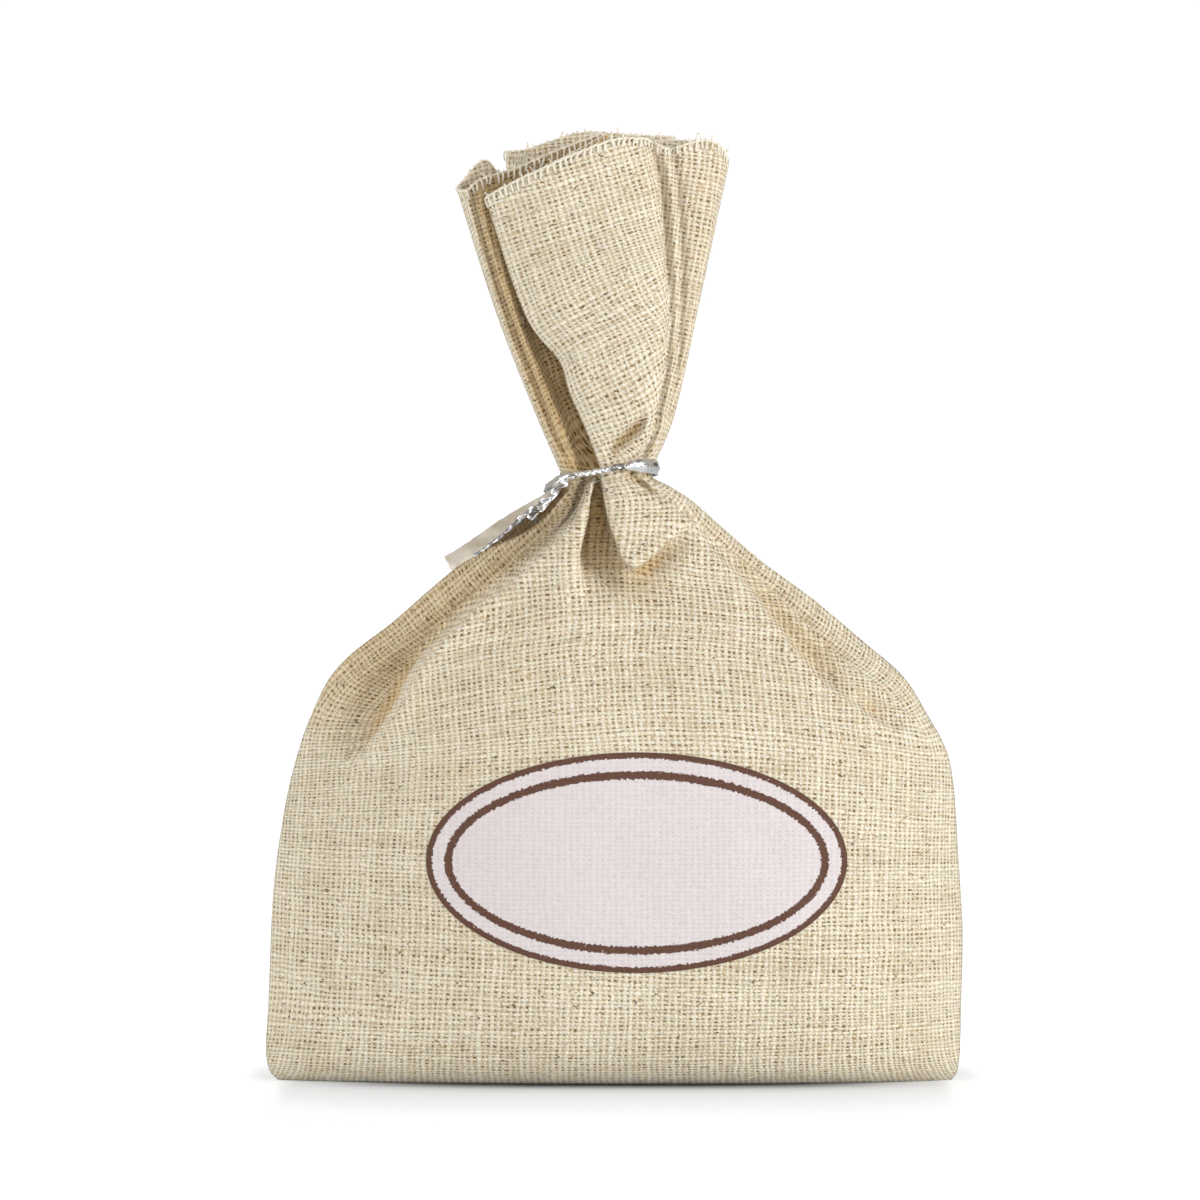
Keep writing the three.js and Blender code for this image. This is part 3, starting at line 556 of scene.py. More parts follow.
def weave_coordinates(points, front):
    """Across and along at the corners of each face, chosen by the part of the cloth that it lies in."""
    middle = COLUMNS // 2
    x, z = points[0], points[2]
    arch = ARCH * smoothstep(z, *ARCH_HEIGHTS) * (x - x[:, middle:middle + 1]) ** 2

    def arched(folds):
        across, along = flat_coordinates(unfolded(points, front, folds), middle)
        return across, along + arch

    tuck, tuck_path = (FRONT_FOLDS[0], LEFT_TUCK) if front else (BACK_FOLDS[0], BACK_TUCK)
    belly, tuck_wall = arched([]), arched([tuck])
    seams = flat_coordinates(points, 0), flat_coordinates(points, COLUMNS)
    row = BASE_ROWS + int(np.searchsorted(WALL_HEIGHTS, STRIP_STEP))
    turn = smoothstep(z, *STRIP_TURN)
    strips = [turned_strip(belly, seam, (row, column), turn) for seam, column in zip(seams, STRIP_COLUMNS)]
    roll = flat_coordinates(points, int(np.argmin(np.abs(COLUMN_SHARES - ROLL_KNOT / KNOTS))))
    sets = np.array([belly, *strips, seams[0], roll, seams[1], tuck_wall])
    face = lambda grid: (grid[:-1, :-1] + grid[1:, 1:]) / 2
    face_x, face_z = face(x), face(z)
    pick = np.zeros(face_x.shape, int)
    past_tuck = path_x(tuck_path, face_z) - face_x
    if front:
        pick[(past_tuck > 0) & (face_z > STRIP_START)] = 1
        pick[(face_x > path_x(RIGHT_GROOVE, face_z)) & (face_z > STRIP_START)] = 2
    pick[(past_tuck > -TUCK_LIP) & (past_tuck < TUCK_WALL) & (face_z > STRIP_STEP)] = 6
    knot = KNOTS * (COLUMN_SHARES[:-1] + COLUMN_SHARES[1:]) / 2
    first, last = ROLL_KNOTS[front]
    pick[TIE_ROW:] = np.where(knot < first, 3, np.where(knot < last, 4, 5))
    rows, columns = (face_corners(index, front) for index in np.indices(x.shape))
    return [sets[pick[..., None], axis, rows, columns] for axis in (0, 1)]


# Rows and columns round a point whose mean its depth is measured from, and the depth of a hollow where its
# painted shade is full
HOLLOW_ROWS, HOLLOW_COLUMNS, HOLLOW_DEPTH = 6, 9, 2.0
# Edge of the cloth below the tie's long tail: x, then height. The gap above it gets painted shadow
UNDER_TAIL = [
    (-24.0, 73.4), (-22.7, 74.0), (-19.7, 75.9), (-17.3, 76.8), (-14.9, 77.8), (-12.2, 79.2), (-10.1, 81.0),
    (-7.2, 84.2), (-6.0, 85.6),
]
# Folds whose sinking paints shade on the cloth
SHADE_PAINTED_FOLDS = [FRONT_FOLDS[1], FRONT_FOLDS[7]]
# Knots over which the painted shade behind the roll starts and ends, and that of the right flap starts
BEHIND_STARTS, BEHIND_ENDS, FLAP_STARTS = (0.4, 1.8), (6.4, 7.0), (13.0, 14.0)
# How much painted shade shows behind the roll, on the right flap, left of the tuck and in the folds listed
# above
BEHIND_ROLL_SHADE, RIGHT_FLAP_SHADE, LEFT_STRIP_SHADE, TUCK_FOLD_SHADE = 0.9, 0.15, 0.55, 0.5


def blurred(grid, reach, axis):
    """Running mean along one axis of a grid."""
    width = [(0, 0)] * grid.ndim
    width[axis] = (reach + 1, reach)
    total = np.cumsum(np.pad(grid, width, "edge"), axis=axis)
    size = grid.shape[axis]
    high = np.take(total, np.arange(2 * reach + 1, 2 * reach + 1 + size), axis)
    low = np.take(total, np.arange(size), axis)
    return (high - low) / (2 * reach + 1)


def painted_shade_shares(points, front):
    """Share of painted shade at each point, from 0 to 1: in hollows of the cloth and, in front, behind the
    roll, on the right flap, left of the tuck and in two folds; and share of painted shadow in the gap under
    the tail.
    """
    around = blurred(blurred(points, HOLLOW_ROWS, 1), HOLLOW_COLUMNS, 2)
    normal = np.cross(np.gradient(around, axis=2), np.gradient(around, axis=1), axis=0)
    normal /= np.maximum(np.linalg.norm(normal, axis=0), 1e-9)
    depth = np.sum((around - points) * normal, axis=0) * (1 if front else -1)
    share = smoothstep(depth, 0.05, HOLLOW_DEPTH)
    gap = np.zeros_like(share)
    if front:
        knot = COLUMN_SHARES * KNOTS
        behind_roll = smoothstep(knot, *BEHIND_STARTS) * (1 - smoothstep(knot, *BEHIND_ENDS))
        right_flap = smoothstep(knot, *FLAP_STARTS)
        share[TIE_ROW:] = np.maximum(share[TIE_ROW:], BEHIND_ROLL_SHADE * behind_roll + RIGHT_FLAP_SHADE * right_flap)
        x, _, z = points[:, :TIE_ROW]
        left_strip = smoothstep(path_x(LEFT_TUCK, z) - x, 0.0, 2.0) * smoothstep(z, 46, 60)
        painted_shade = LEFT_STRIP_SHADE * left_strip
        for fold in SHADE_PAINTED_FOLDS:
            sink, _, _ = folded([fold], x, z)
            painted_shade = np.maximum(painted_shade, TUCK_FOLD_SHADE * smoothstep(sink, 0.3, 4.0))
        share[:TIE_ROW] = np.maximum(share[:TIE_ROW], painted_shade)
        above = z - line_through(UNDER_TAIL, x)
        beside_knot = 1 - smoothstep(x, -8.0, -6.4)
        gap[:TIE_ROW] = smoothstep(above, 0.0, 0.6) * beside_knot * smoothstep(z, 74, 76)
    return share, gap


# Materials


class Tree:
    """Short calls for the nodes of a node tree."""

    def __init__(self, tree):
        self.nodes, self.links = tree.nodes, tree.links

    def put(self, socket, value):
        if isinstance(value, bpy.types.NodeSocket):
            self.links.new(value, socket)
        else:
            socket.default_value = value

    def node(self, kind, inputs=(), **settings):
        """New node with settings, and with values on its inputs, in order or by their keys."""
        node = self.nodes.new("ShaderNode" + kind)
        for name, value in settings.items():
            setattr(node, name, value)
        for key, value in inputs.items() if isinstance(inputs, dict) else enumerate(inputs):
            self.put(node.inputs[key], value)
        return node

    def math(self, operation, *values):
        return self.node("Math", values, operation=operation).outputs[0]

    def add(self, a, b):
        return self.math("ADD", a, b)

    def less(self, a, b):
        return self.math("SUBTRACT", a, b)

    def times(self, a, b):
        return self.math("MULTIPLY", a, b)

    def scaled(self, a, b, c):
        return self.math("MULTIPLY_ADD", a, b, c)

    def spot(self, x, y, z=0.0):
        return self.node("CombineXYZ", (x, y, z)).outputs[0]

    def parts(self, vector):
        return list(self.node("SeparateXYZ", (vector,)).outputs)

    def place(self):
        return self.node("TexCoord").outputs["Object"]

    def camera_ray(self):
        return self.node("LightPath").outputs["Is Camera Ray"]

    def uv(self, name):
        return self.parts(self.node("UVMap", uv_map=name).outputs[0])[:2]

    def noise(self, where, scale=1.0, detail=1.0):
        return self.node("TexNoise", {"Vector": where, "Scale": scale, "Detail": detail}).outputs[0]

    def chance(self, where):
        return self.node("TexWhiteNoise", {"Vector": where}).outputs["Value"]

    def step(self, value, low, high):
        return self.node("MapRange", (value, low, high), interpolation_type="SMOOTHSTEP").outputs[0]

    def mix(self, share, a, b, blend="MIX"):
        colours = [c if isinstance(c, bpy.types.NodeSocket) else (*c, 1) for c in (a, b)]
        inputs = {0: share, 6: colours[0], 7: colours[1]}
        return self.node("Mix", inputs, data_type="RGBA", blend_type=blend).outputs[2]

    def tint(self, colour, by):
        return self.mix(1.0, colour, by, "MULTIPLY")


class Shade(Tree):
    """A new material's node tree and its shader."""

    def __init__(self, name, roughness):
        self.material = bpy.data.materials.new(name)
        self.material.use_nodes = True
        super().__init__(self.material.node_tree)
        self.shader = self.nodes["Principled BSDF"]
        self.shader.inputs["Roughness"].default_value = roughness

    def bump(self, height, strength, depth):
        node = self.node("Bump", {"Strength": strength, "Distance": depth * MM, "Height": height})
        self.set(Normal=node.outputs[0])

    def set(self, **values):
        for name, value in values.items():
            self.put(self.shader.inputs[name.replace("_", " ")], value)


def speckled(name, roughness, scale, detail, dark, pale, relief, **values):
    """Material of grains in two tones, which stand out by the strength and depth of the relief."""
    shade = Shade(name, roughness)
    grain = shade.noise(shade.place(), scale, detail)
    shade.set(Base_Color=shade.mix(shade.step(grain, *GRAIN_EDGES), dark, pale), **values)
    shade.bump(grain, *relief)
    return shade


GRAIN_EDGES = (0.35, 0.65)
WARP_PITCH, WEFT_PITCH, TWIST_PITCH = 0.90, 0.65, 0.55
# Noise over the cloth, by its scales across and along, its layer and detail: where the two sets of threads
# wander, with how far, single fibres, and paler patches
WARP_WANDER, WARP_STRAY = (0.50, 0.12, 1.0), 0.8
WEFT_WANDER, WEFT_STRAY = (0.12, 0.60, 9.0), 0.7
FIBRE_NOISE, PATCH_NOISE = (2.2, 2.8, 0.0, 3.0), (0.10, 0.16, 3.0)
# Noise of one thread, by how it differs between threads, its scale along them and its layer
DRIFT_NOISE, SPUN_NOISE, SLUB_NOISE = (7.1, 0.30, 8.0), (3.7, 0.45, 0.0), (5.3, 0.12, 4.0)
SLUB_EDGES = (0.60, 0.78)
# Threads, in shares of the pitch: how far they drift, and half widths by lot, by uneven spinning and at slubs
THREAD_DRIFT, LOT_WIDTH, SPUN_WIDTH, SLUB_WIDTH = 0.5, 0.10, 0.34, 0.12
WARP_WIDTH, WEFT_WIDTH = 0.12, 0.15
# Mean height of a thread, and how far it goes up and down over the crossing ones
THREAD_HEIGHT, CRIMP = 1.35, 0.45
# Twist of a thread: its slant, and its mean height and relief as shares of the thread's
TWIST_SLANT, TWIST_MEAN, TWIST_RELIEF = 5.0, 0.95, 0.07
# What twist, lot, fibres and patches add to a thread's paleness
TWIST_PALE, LOT_PALE, FIBRE_PALE, PATCH_PALE = 0.4, 0.20, 0.70, 0.35
# Paleness from the dark to the pale tone, and heights from hole to thread and from an underpass to the top
PALE_EDGES, HOLE_EDGES, UNDERPASS_EDGES = (0.05, 0.85), (0.05, 0.95), (0.80, 1.75)
# Painted shade seen through the holes of the weave, at its darkest and palest
HOLE_SHADE_DARK, HOLE_SHADE_PALE = (0.200, 0.132, 0.058), (0.560, 0.455, 0.290)
THREAD_DARK, THREAD_PALE = (0.680, 0.600, 0.450), (0.920, 0.865, 0.750)
# Brown and orange flecks and grey streaks: scales of their noise across and along the cloth, its layer, where
# they start and where they are full, how much they show, and their colour
FLECKS = [
    (0.8, 1.5, 20.0, 0.665, 0.715, 0.80, (0.080, 0.050, 0.026)),
    (1.3, 0.8, 30.0, 0.66, 0.71, 0.60, (0.450, 0.250, 0.080)),
    (0.20, 1.5, 40.0, 0.58, 0.74, 0.40, (0.430, 0.370, 0.270)),
]
# Painted shade in the cloth's hollows, folds and shaded parts
FOLD_PAINTED_SHADE = (0.80, 0.66, 0.45)
# Painted shadow in the gap under the tie's long tail
TAIL_GAP_SHADOW = (0.24, 0.19, 0.13)
# Painted shade on the threads' sides and where they pass under others
UNDERPASS_SHADE = (0.78, 0.72, 0.61)


def weave(shade):
    """Height of a loose plain weave of uneven threads, and its colour, with painted shade in its holes and
    underpasses.
    """
    add, less, times, scaled = shade.add, shade.less, shade.times, shade.scaled
    across, along = shade.uv("weave")
    floor = lambda value: shade.math("FLOOR", value)
    wave = lambda value: shade.math("COSINE", value)

    def cloud(scale_across, scale_along, layer, detail=1.0):
        """Noise over the cloth, stretched in both directions."""
        where = shade.spot(times(across, scale_across), times(along, scale_along), layer)
        return shade.noise(where, detail=detail)

    def thread(number, layer, run, middle, width):
        """Rounded height of one set of threads, and its share of paleness."""
        change = lambda between, scale, above: shade.noise(
            shade.spot(times(number, between), times(run, scale), layer + above))
        lot = shade.chance(shade.spot(number, layer))
        middle = add(middle, scaled(change(*DRIFT_NOISE), THREAD_DRIFT, -THREAD_DRIFT / 2))
        slub = shade.step(change(*SLUB_NOISE), *SLUB_EDGES)
        half = add(times(lot, LOT_WIDTH), times(change(*SPUN_NOISE), SPUN_WIDTH))
        half = add(add(half, width), times(slub, SLUB_WIDTH))
        part = shade.math("DIVIDE", middle, half)
        round_ = shade.math("SQRT", shade.math("MAXIMUM", less(1.0, times(part, part)), 0.0))
        twist = wave(scaled(run, 2 * math.pi / TWIST_PITCH, times(middle, TWIST_SLANT)))
        return times(round_, scaled(twist, TWIST_RELIEF, TWIST_MEAN)), scaled(twist, TWIST_PALE, lot)

    a = shade.math("DIVIDE", add(across, times(less(cloud(*WARP_WANDER), 0.5), WARP_STRAY)), WARP_PITCH)
    b = shade.math("DIVIDE", add(along, times(less(cloud(*WEFT_WANDER), 0.5), WEFT_STRAY)), WEFT_PITCH)
    i, j = floor(a), floor(b)
    in_a, in_b = (less(shade.math("FRACT", value), 0.5) for value in (a, b))
    warp, warp_lot = thread(i, 1.0, along, in_a, WARP_WIDTH)
    weft, weft_lot = thread(j, 2.0, across, in_b, WEFT_WIDTH)
    over = wave(times(add(less(b, 0.5), i), math.pi))
    under = wave(times(add(less(a, 0.5), j), math.pi))
    warp_height = times(warp, scaled(over, CRIMP, THREAD_HEIGHT))
    weft_height = times(weft, scaled(under, -CRIMP, THREAD_HEIGHT))
    height = shade.math("MAXIMUM", warp_height, weft_height)
    warp_shows = shade.math("GREATER_THAN", warp_height, weft_height)
    lot = add(times(warp_shows, warp_lot), times(less(1.0, warp_shows), weft_lot))
    pale = add(times(lot, LOT_PALE), times(cloud(*FIBRE_NOISE), FIBRE_PALE))
    pale = add(pale, scaled(cloud(*PATCH_NOISE), PATCH_PALE, -PATCH_PALE / 2))
    colour = shade.mix(shade.step(pale, *PALE_EDGES), THREAD_DARK, THREAD_PALE)
    for scale_across, scale_along, layer, start, full, amount, tone in FLECKS:
        fleck = shade.step(cloud(scale_across, scale_along, layer, 2.0), start, full)
        colour = shade.mix(times(fleck, amount), colour, tone)
    # Painted shade: the lower parts of the threads are darker than their tops
    colour = shade.mix(shade.step(height, *UNDERPASS_EDGES), shade.tint(colour, UNDERPASS_SHADE), colour)
    # Holes between the threads get painted shade, darker or paler at random
    hole = shade.chance(shade.spot(floor(add(a, 0.5)), floor(add(b, 0.5)), 7.0))
    hole_shade = shade.mix(shade.step(hole, *HOLE_EDGES), HOLE_SHADE_DARK, HOLE_SHADE_PALE)
    return height, shade.mix(shade.step(height, *HOLE_EDGES), hole_shade, colour)


cloth_shade = Shade("cloth", 0.92)
weave_height, weave_colour = weave(cloth_shade)
# Painted shade from the hollow map, then painted shadow in the gap under the tail
hollow, tail_gap_shadow = cloth_shade.uv("hollow")
weave_colour = cloth_shade.mix(hollow, weave_colour, cloth_shade.tint(weave_colour, FOLD_PAINTED_SHADE))
weave_colour = cloth_shade.mix(tail_gap_shadow, weave_colour, cloth_shade.tint(weave_colour, TAIL_GAP_SHADOW))
cloth_shade.set(Base_Color=weave_colour, Sheen_Weight=0.05, Sheen_Roughness=0.5, Specular_IOR_Level=0.15,
                Subsurface_Weight=0.35, Subsurface_Radius=(1.0, 0.6, 0.3), Subsurface_Scale=0.8 * MM)
cloth_shade.bump(weave_height, 0.7, 0.22)

panels, grids = {}, {}
for name, front in (("front_cloth", True), ("back_cloth", False)):
    grids[name] = sheet_points(front)
    panel = grid_mesh(name, grids[name], not front)
    add_map(panel, "weave", weave_coordinates(grids[name], front))
    # Map of painted shade and painted shadow
    add_map(panel, "hollow", [face_corners(grid, front) for grid in painted_shade_shares(grids[name], front)])
    # Offset -1 puts the whole thickness on the inside
    thickness = panel.modifiers.new("thickness", "SOLIDIFY")
    thickness.thickness, thickness.offset = CLOTH * MM, -1
    panel.data.materials.append(cloth_shade.material)
    panels[name] = panel

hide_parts("front_panel", "front_frill", "left_side_seam", "left_frill_seam")
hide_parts("back_panel", "back_frill", "neck_gather", "right_side_seam",
            "right_frill_seam")
for panel in panels.values():
    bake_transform(panel)


# Oval print

PRINT_X, PRINT_Z = 3.05, 32.7
PRINT_HALF_WIDTH, PRINT_HALF_HEIGHT = 29.95, 15.6
PRINT_LIFT = 0.12
PRINT_RINGS, PRINT_SPOKES = 40, 220
# How far the rings go from the edge, 1 being the middle, and how they crowd to the edge
PRINT_SPAN, PRINT_CROWDING = 0.999, 1.6
# Small steps in u and in height over which the belly's slope is taken
STEP_U, STEP_Z = 0.002, 0.2
# Brown lines, by their distance from the edge, how soft their edges are and how far these stray
OUTER_LINE, INNER_LINE = 0.85, (2.62, 3.76)
LINE_SOFT, LINE_STRAY = 0.05, 0.90
# Scale and detail of the noise in the lines' edges, the pale field and the brown ink, and the inks' tones
RAGGED_NOISE, MOTTLE_NOISE, WORN_NOISE = (2.6, 2.0), (1.1, 4.0), (1.7, 4.0)
MOTTLE_TONES, WORN_TONES = (0.92, 1.08), (0.75, 1.30)
PRINT_PALE = (0.670, 0.608, 0.604)
PRINT_BROWN = (0.118, 0.058, 0.040)
# Painted shade of the print where the weave's holes lie under it
PRINT_HOLE_SHADE = (0.92, 0.91, 0.90)


def print_piece():
    """Thin oval that lies on the belly, with the distance from its edge as one of its maps."""
    ring = (1 - np.linspace(PRINT_SPAN, 0, PRINT_RINGS) ** PRINT_CROWDING)[:, None]
    angle = np.linspace(0, 2 * math.pi, PRINT_SPOKES + 1)
    across = PRINT_HALF_WIDTH * ring * np.cos(angle)
    up = PRINT_HALF_HEIGHT * ring * np.sin(angle)
    x, z = PRINT_X + across, PRINT_Z + up
    u = side_share(x, z)
    _, y, _ = pouch_points(u, z, True)
    _, y_right, _ = pouch_points(u + STEP_U, z, True)
    _, y_up, _ = pouch_points(side_share(x, z + STEP_Z), z + STEP_Z, True)
    slope_x = (y_right - y) / (side_x(u + STEP_U, z) - x)
    slope_z = (y_up - y) / STEP_Z
    length = np.sqrt(1 + slope_x ** 2 + slope_z ** 2)
    points = [x + PRINT_LIFT * slope_x / length, y - PRINT_LIFT / length, z + PRINT_LIFT * slope_z / length]
    piece = grid_mesh("oval_ink", np.array(points), True)
    steep = np.hypot(across / PRINT_HALF_WIDTH ** 2, up / PRINT_HALF_HEIGHT ** 2)
    inside = (1 - ring) * ring / np.maximum(steep, 1e-4)
    for name, pair in (("border", (inside, across)), ("weave", (x, z))):
        add_map(piece, name, [face_corners(axis, False) for axis in pair])
    return piece


ink_shade = Shade("ink", 0.70)
edge_distance, _ = ink_shade.uv("border")
ink_spot = ink_shade.spot(*ink_shade.uv("weave"))
ragged = ink_shade.scaled(ink_shade.noise(ink_spot, *RAGGED_NOISE), LINE_STRAY, -LINE_STRAY / 2)
ragged_distance = ink_shade.add(edge_distance, ragged)
past = lambda line: ink_shade.step(ragged_distance, line - LINE_SOFT, line + LINE_SOFT)
outer = ink_shade.less(1.0, past(OUTER_LINE))
inner = ink_shade.times(past(INNER_LINE[0]), ink_shade.less(1.0, past(INNER_LINE[1])))
relief, _ = weave(ink_shade)
tones = lambda colour, low, high: ([low * c for c in colour], [high * c for c in colour])
mottled = ink_shade.mix(ink_shade.noise(ink_spot, *MOTTLE_NOISE), *tones(PRINT_PALE, *MOTTLE_TONES))
worn = ink_shade.mix(ink_shade.noise(ink_spot, *WORN_NOISE), *tones(PRINT_BROWN, *WORN_TONES))
printed = ink_shade.mix(ink_shade.math("MAXIMUM", outer, inner), mottled, worn)
# Painted shade: the print is darker over the weave's holes
printed = ink_shade.mix(ink_shade.step(relief, 0.0, 1.0), ink_shade.tint(printed, PRINT_HOLE_SHADE), printed)
ink_shade.set(Base_Color=printed, Specular_IOR_Level=0.15)
ink_shade.bump(relief, 0.5, 0.14)
oval = print_piece()
oval.data.materials.append(ink_shade.material)
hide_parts("oval_print")
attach(oval, "pouch")


# Tie: a foil ribbon with a wire along its middle, twisted in front and round its two ends


def across_path(path, outward):
    """Unit vectors out of the surface and along the ribbon's width at each point of a path."""
    tangent = unit(np.gradient(path, axis=0))
    normal = unit(outward - np.sum(outward * tangent, axis=1)[:, None] * tangent)
    return normal, np.cross(tangent, normal)


# Direction that no thread or wire runs along, which sets where their rings start
ASKEW = (0.31, 0.52, 0.80)


def foil_strip(name, path, outward, half_width, half_height, crinkle, seed, turns=0, fold=0, shift=0):
    """Foil along a path: a strip of the given half width and height at each step, turned about the path.

    Its two edges bend back from the middle by the fold, and it lies to one side of the path by the shift.
    """
    column = lambda values: np.broadcast_to(values, len(path))[:, None]
    normal, width = across_path(path, outward)
    angle = 2 * math.pi * column(turns)
    out = np.cos(angle) * normal + np.sin(angle) * width
    side = np.cos(angle) * width - np.sin(angle) * normal
    turn = np.linspace(0, 2 * math.pi, FOIL_SIDES + 1)[:-1]
    share = np.cos(turn)
    run = np.arange(len(path))[:, None] / CRINKLE_STEPS
    rough = crinkle * soft_noise(share[None] * CRINKLES_ACROSS + 9, run + 0 * share[None], seed)
    lift = column(half_height) * np.sin(turn) - column(fold) * np.abs(share) ** FOLD_POWER + rough
    reach = share * column(half_width) * (1 + 0.5 * rough) + column(shift)
    points = path[:, None] + side[:, None] * reach[..., None] + out[:, None] * lift[..., None]
    return ringed(name, points)


def tube(name, path, radius, sides=8):
    """Round bar along a path, closed at its ends."""
    normal, width = across_path(path, np.tile(ASKEW, (len(path), 1)))
    angle = np.linspace(0, 2 * math.pi, sides + 1)[:-1, None]
    ring = np.cos(angle) * normal[:, None] + np.sin(angle) * width[:, None]
    return ringed(name, path[:, None] + radius * ring)


FOIL_SIDES = 18
# Steps along a foil in one crinkle, crinkles over half its width, and the power of its edges' bend
CRINKLE_STEPS, CRINKLES_ACROSS, FOLD_POWER = 4.0, 1.8, 1.3
# Painted reflections of the foil, dark and bright
FOIL_REFLECTION_DARK, FOIL_REFLECTION_BRIGHT = (0.16, 0.155, 0.15), (0.92, 0.92, 0.92)
FILM_DARK, FILM_PALE = (0.44, 0.37, 0.28), (0.66, 0.60, 0.51)
FILM_SHADE = (0.075, 0.060, 0.042)
# Painted reflections of the wire, dark and pale
WIRE_REFLECTION_DARK, WIRE_REFLECTION_PALE = (0.30, 0.30, 0.31), (0.90, 0.90, 0.91)
# Half the thickness of the flat foil
FOIL = 0.09
WIRE_RADIUS = 0.22
BAND_STEPS, TAIL_STEPS = 260, 120
# Band: turns of its twisted start and their share of the length, where this start gets flat and where the end
# twists again, half width, what twisting takes from that and adds to the thickness, and fold
BAND_TURNS, BAND_TWISTED = 4.0, 0.17
BAND_FLATTENS, BAND_TWISTS = (0.13, 0.24), (0.94, 1.0)
BAND_HALF, BAND_NARROWS, BAND_THICKENS, BAND_FOLD = 1.05, 0.50, 0.33, 0.20
# Long tail: where its film unwraps, half width, what wrapping takes from that and adds to the thickness, its
# fold, and its shift to one side
FILM_UNWRAPS = (0.05, 0.55)
FILM_HALF, FILM_NARROWS, FILM_THICKENS, FILM_FOLD, FILM_SHIFT = 1.20, 0.85, 0.20, 0.25, 0.50
# Short tail, and strand of the long one: where they change, half width and thickness with changes, and turns
SHORT_OPENS, SHORT_HALF, SHORT_WIDENS = (0.7, 0.9), 0.50, 0.35
SHORT_THICK, SHORT_FLATTENS, SHORT_TURNS = 0.38, 0.28, 2.0
CORE_THINS, CORE_HALF, CORE_NARROWS = (0.15, 0.85), 0.62, 0.36
CORE_THICK, CORE_FLATTENS, CORE_TURNS = 0.26, 0.06, 4.5
BAND = [
    (-6.0, -6.6, 87.5), (-4.6, -6.5, 87.6), (-2.2, -6.1, 88.0), (0.6, -5.9, 88.6), (3.0, -5.4, 88.8),
    (5.2, -3.6, 88.6), (6.3, -0.4, 88.3), (5.2, 3.2, 88.0), (2.2, 5.4, 87.9), (-1.6, 6.1, 87.7),
    (-5.4, 5.2, 86.9), (-8.7, 2.8, 85.8), (-10.1, -0.6, 85.0), (-9.3, -4.1, 85.5), (-7.7, -6.1, 86.7),
    (-6.3, -6.8, 87.4),
]
LONG_TAIL = [
    (-6.0, -7.2, 87.6), (-7.6, -7.4, 86.1), (-9.2, -7.2, 84.7), (-10.6, -7.1, 83.5), (-13.4, -6.9, 81.4),
    (-17.0, -6.7, 78.9), (-20.6, -6.4, 76.4), (-23.8, -6.1, 74.4),
]
LONG_CORE = [
    (-6.0, -7.4, 87.6), (-7.6, -7.7, 86.0), (-9.6, -7.6, 84.1), (-11.5, -7.5, 82.7), (-13.0, -7.4, 81.7),
    (-14.7, -7.3, 80.1), (-16.2, -7.2, 78.8), (-18.3, -7.1, 77.2), (-20.2, -7.0, 75.8),
]
SHORT_TAIL = [
    (-6.0, -7.0, 87.3), (-7.4, -7.0, 86.4), (-8.9, -7.6, 84.4), (-10.2, -7.9, 83.0), (-11.2, -8.3, 82.0),
    (-12.0, -8.6, 81.0),
]
NECK_CENTRE = np.array((-1.4, 0.0, 0.0))
# Way that the tails face
TAIL_OUT = (-0.30, -0.90, 0.32)

band_path = smooth_path(BAND, BAND_STEPS)
band_share = np.linspace(0, 1, BAND_STEPS)
band_out = (band_path - NECK_CENTRE) * (1, 1, 0)
strand = 1 - smoothstep(band_share, *BAND_FLATTENS) + smoothstep(band_share, *BAND_TWISTS)
band = foil_strip("tie_foil", band_path, band_out, BAND_HALF - BAND_NARROWS * strand,
                  FOIL + BAND_THICKENS * strand, crinkle=0.06, seed=31, fold=BAND_FOLD * (1 - strand),
                  turns=BAND_TURNS * np.minimum(band_share, BAND_TWISTED) / BAND_TWISTED)
band_wire = tube("tie_wire", band_path, WIRE_RADIUS)

tail_out = np.tile(TAIL_OUT, (TAIL_STEPS, 1))
tail_share = np.linspace(0, 1, TAIL_STEPS)
long_path, core_path, short_path = (
    smooth_path(line, TAIL_STEPS) for line in (LONG_TAIL, LONG_CORE, SHORT_TAIL)
)
wrapped = 1 - smoothstep(tail_share, *FILM_UNWRAPS)
long_tail = foil_strip("long_tail_foil", long_path, tail_out, FILM_HALF - FILM_NARROWS * wrapped,
                       FOIL + FILM_THICKENS * wrapped, crinkle=0.05, seed=32,
                       fold=FILM_FOLD * (1 - wrapped), shift=FILM_SHIFT * (1 - wrapped))
opened = smoothstep(tail_share, *SHORT_OPENS)
short_tail = foil_strip("short_tail_foil", short_path, tail_out, SHORT_HALF + SHORT_WIDENS * opened,
                        SHORT_THICK - SHORT_FLATTENS * opened, crinkle=0.06, seed=33,
                        turns=SHORT_TURNS * tail_share)
thinning = smoothstep(tail_share, *CORE_THINS)
long_wire = foil_strip("long_tail_core", core_path, tail_out, CORE_HALF - CORE_NARROWS * thinning,
                       CORE_THICK - CORE_FLATTENS * thinning, crinkle=0.05, seed=34,
                       turns=CORE_TURNS * tail_share)
short_wire = tube("short_tail_core", short_path, WIRE_RADIUS)

foil_shade = Shade("foil", 0.20)
foil_place = foil_shade.place()
# Painted reflections: the foil's colour turns dark and bright in facets and grain
facet = foil_shade.node("TexVoronoi", {"Vector": foil_place, "Scale": 560})
facet_tone = foil_shade.node("SeparateColor", (facet.outputs["Color"],)).outputs[0]
foil_noise = foil_shade.noise(foil_place, 900.0, 3.0)
foil_tone = foil_shade.scaled(foil_noise, 0.5, foil_shade.times(facet_tone, 0.6))
foil_reflections = foil_shade.mix(foil_shade.step(foil_tone, 0.22, 0.56), FOIL_REFLECTION_DARK, FOIL_REFLECTION_BRIGHT)
foil_shade.set(Base_Color=foil_reflections, Metallic=1.0)
foil_shade.bump(foil_noise, 0.4, 0.20)

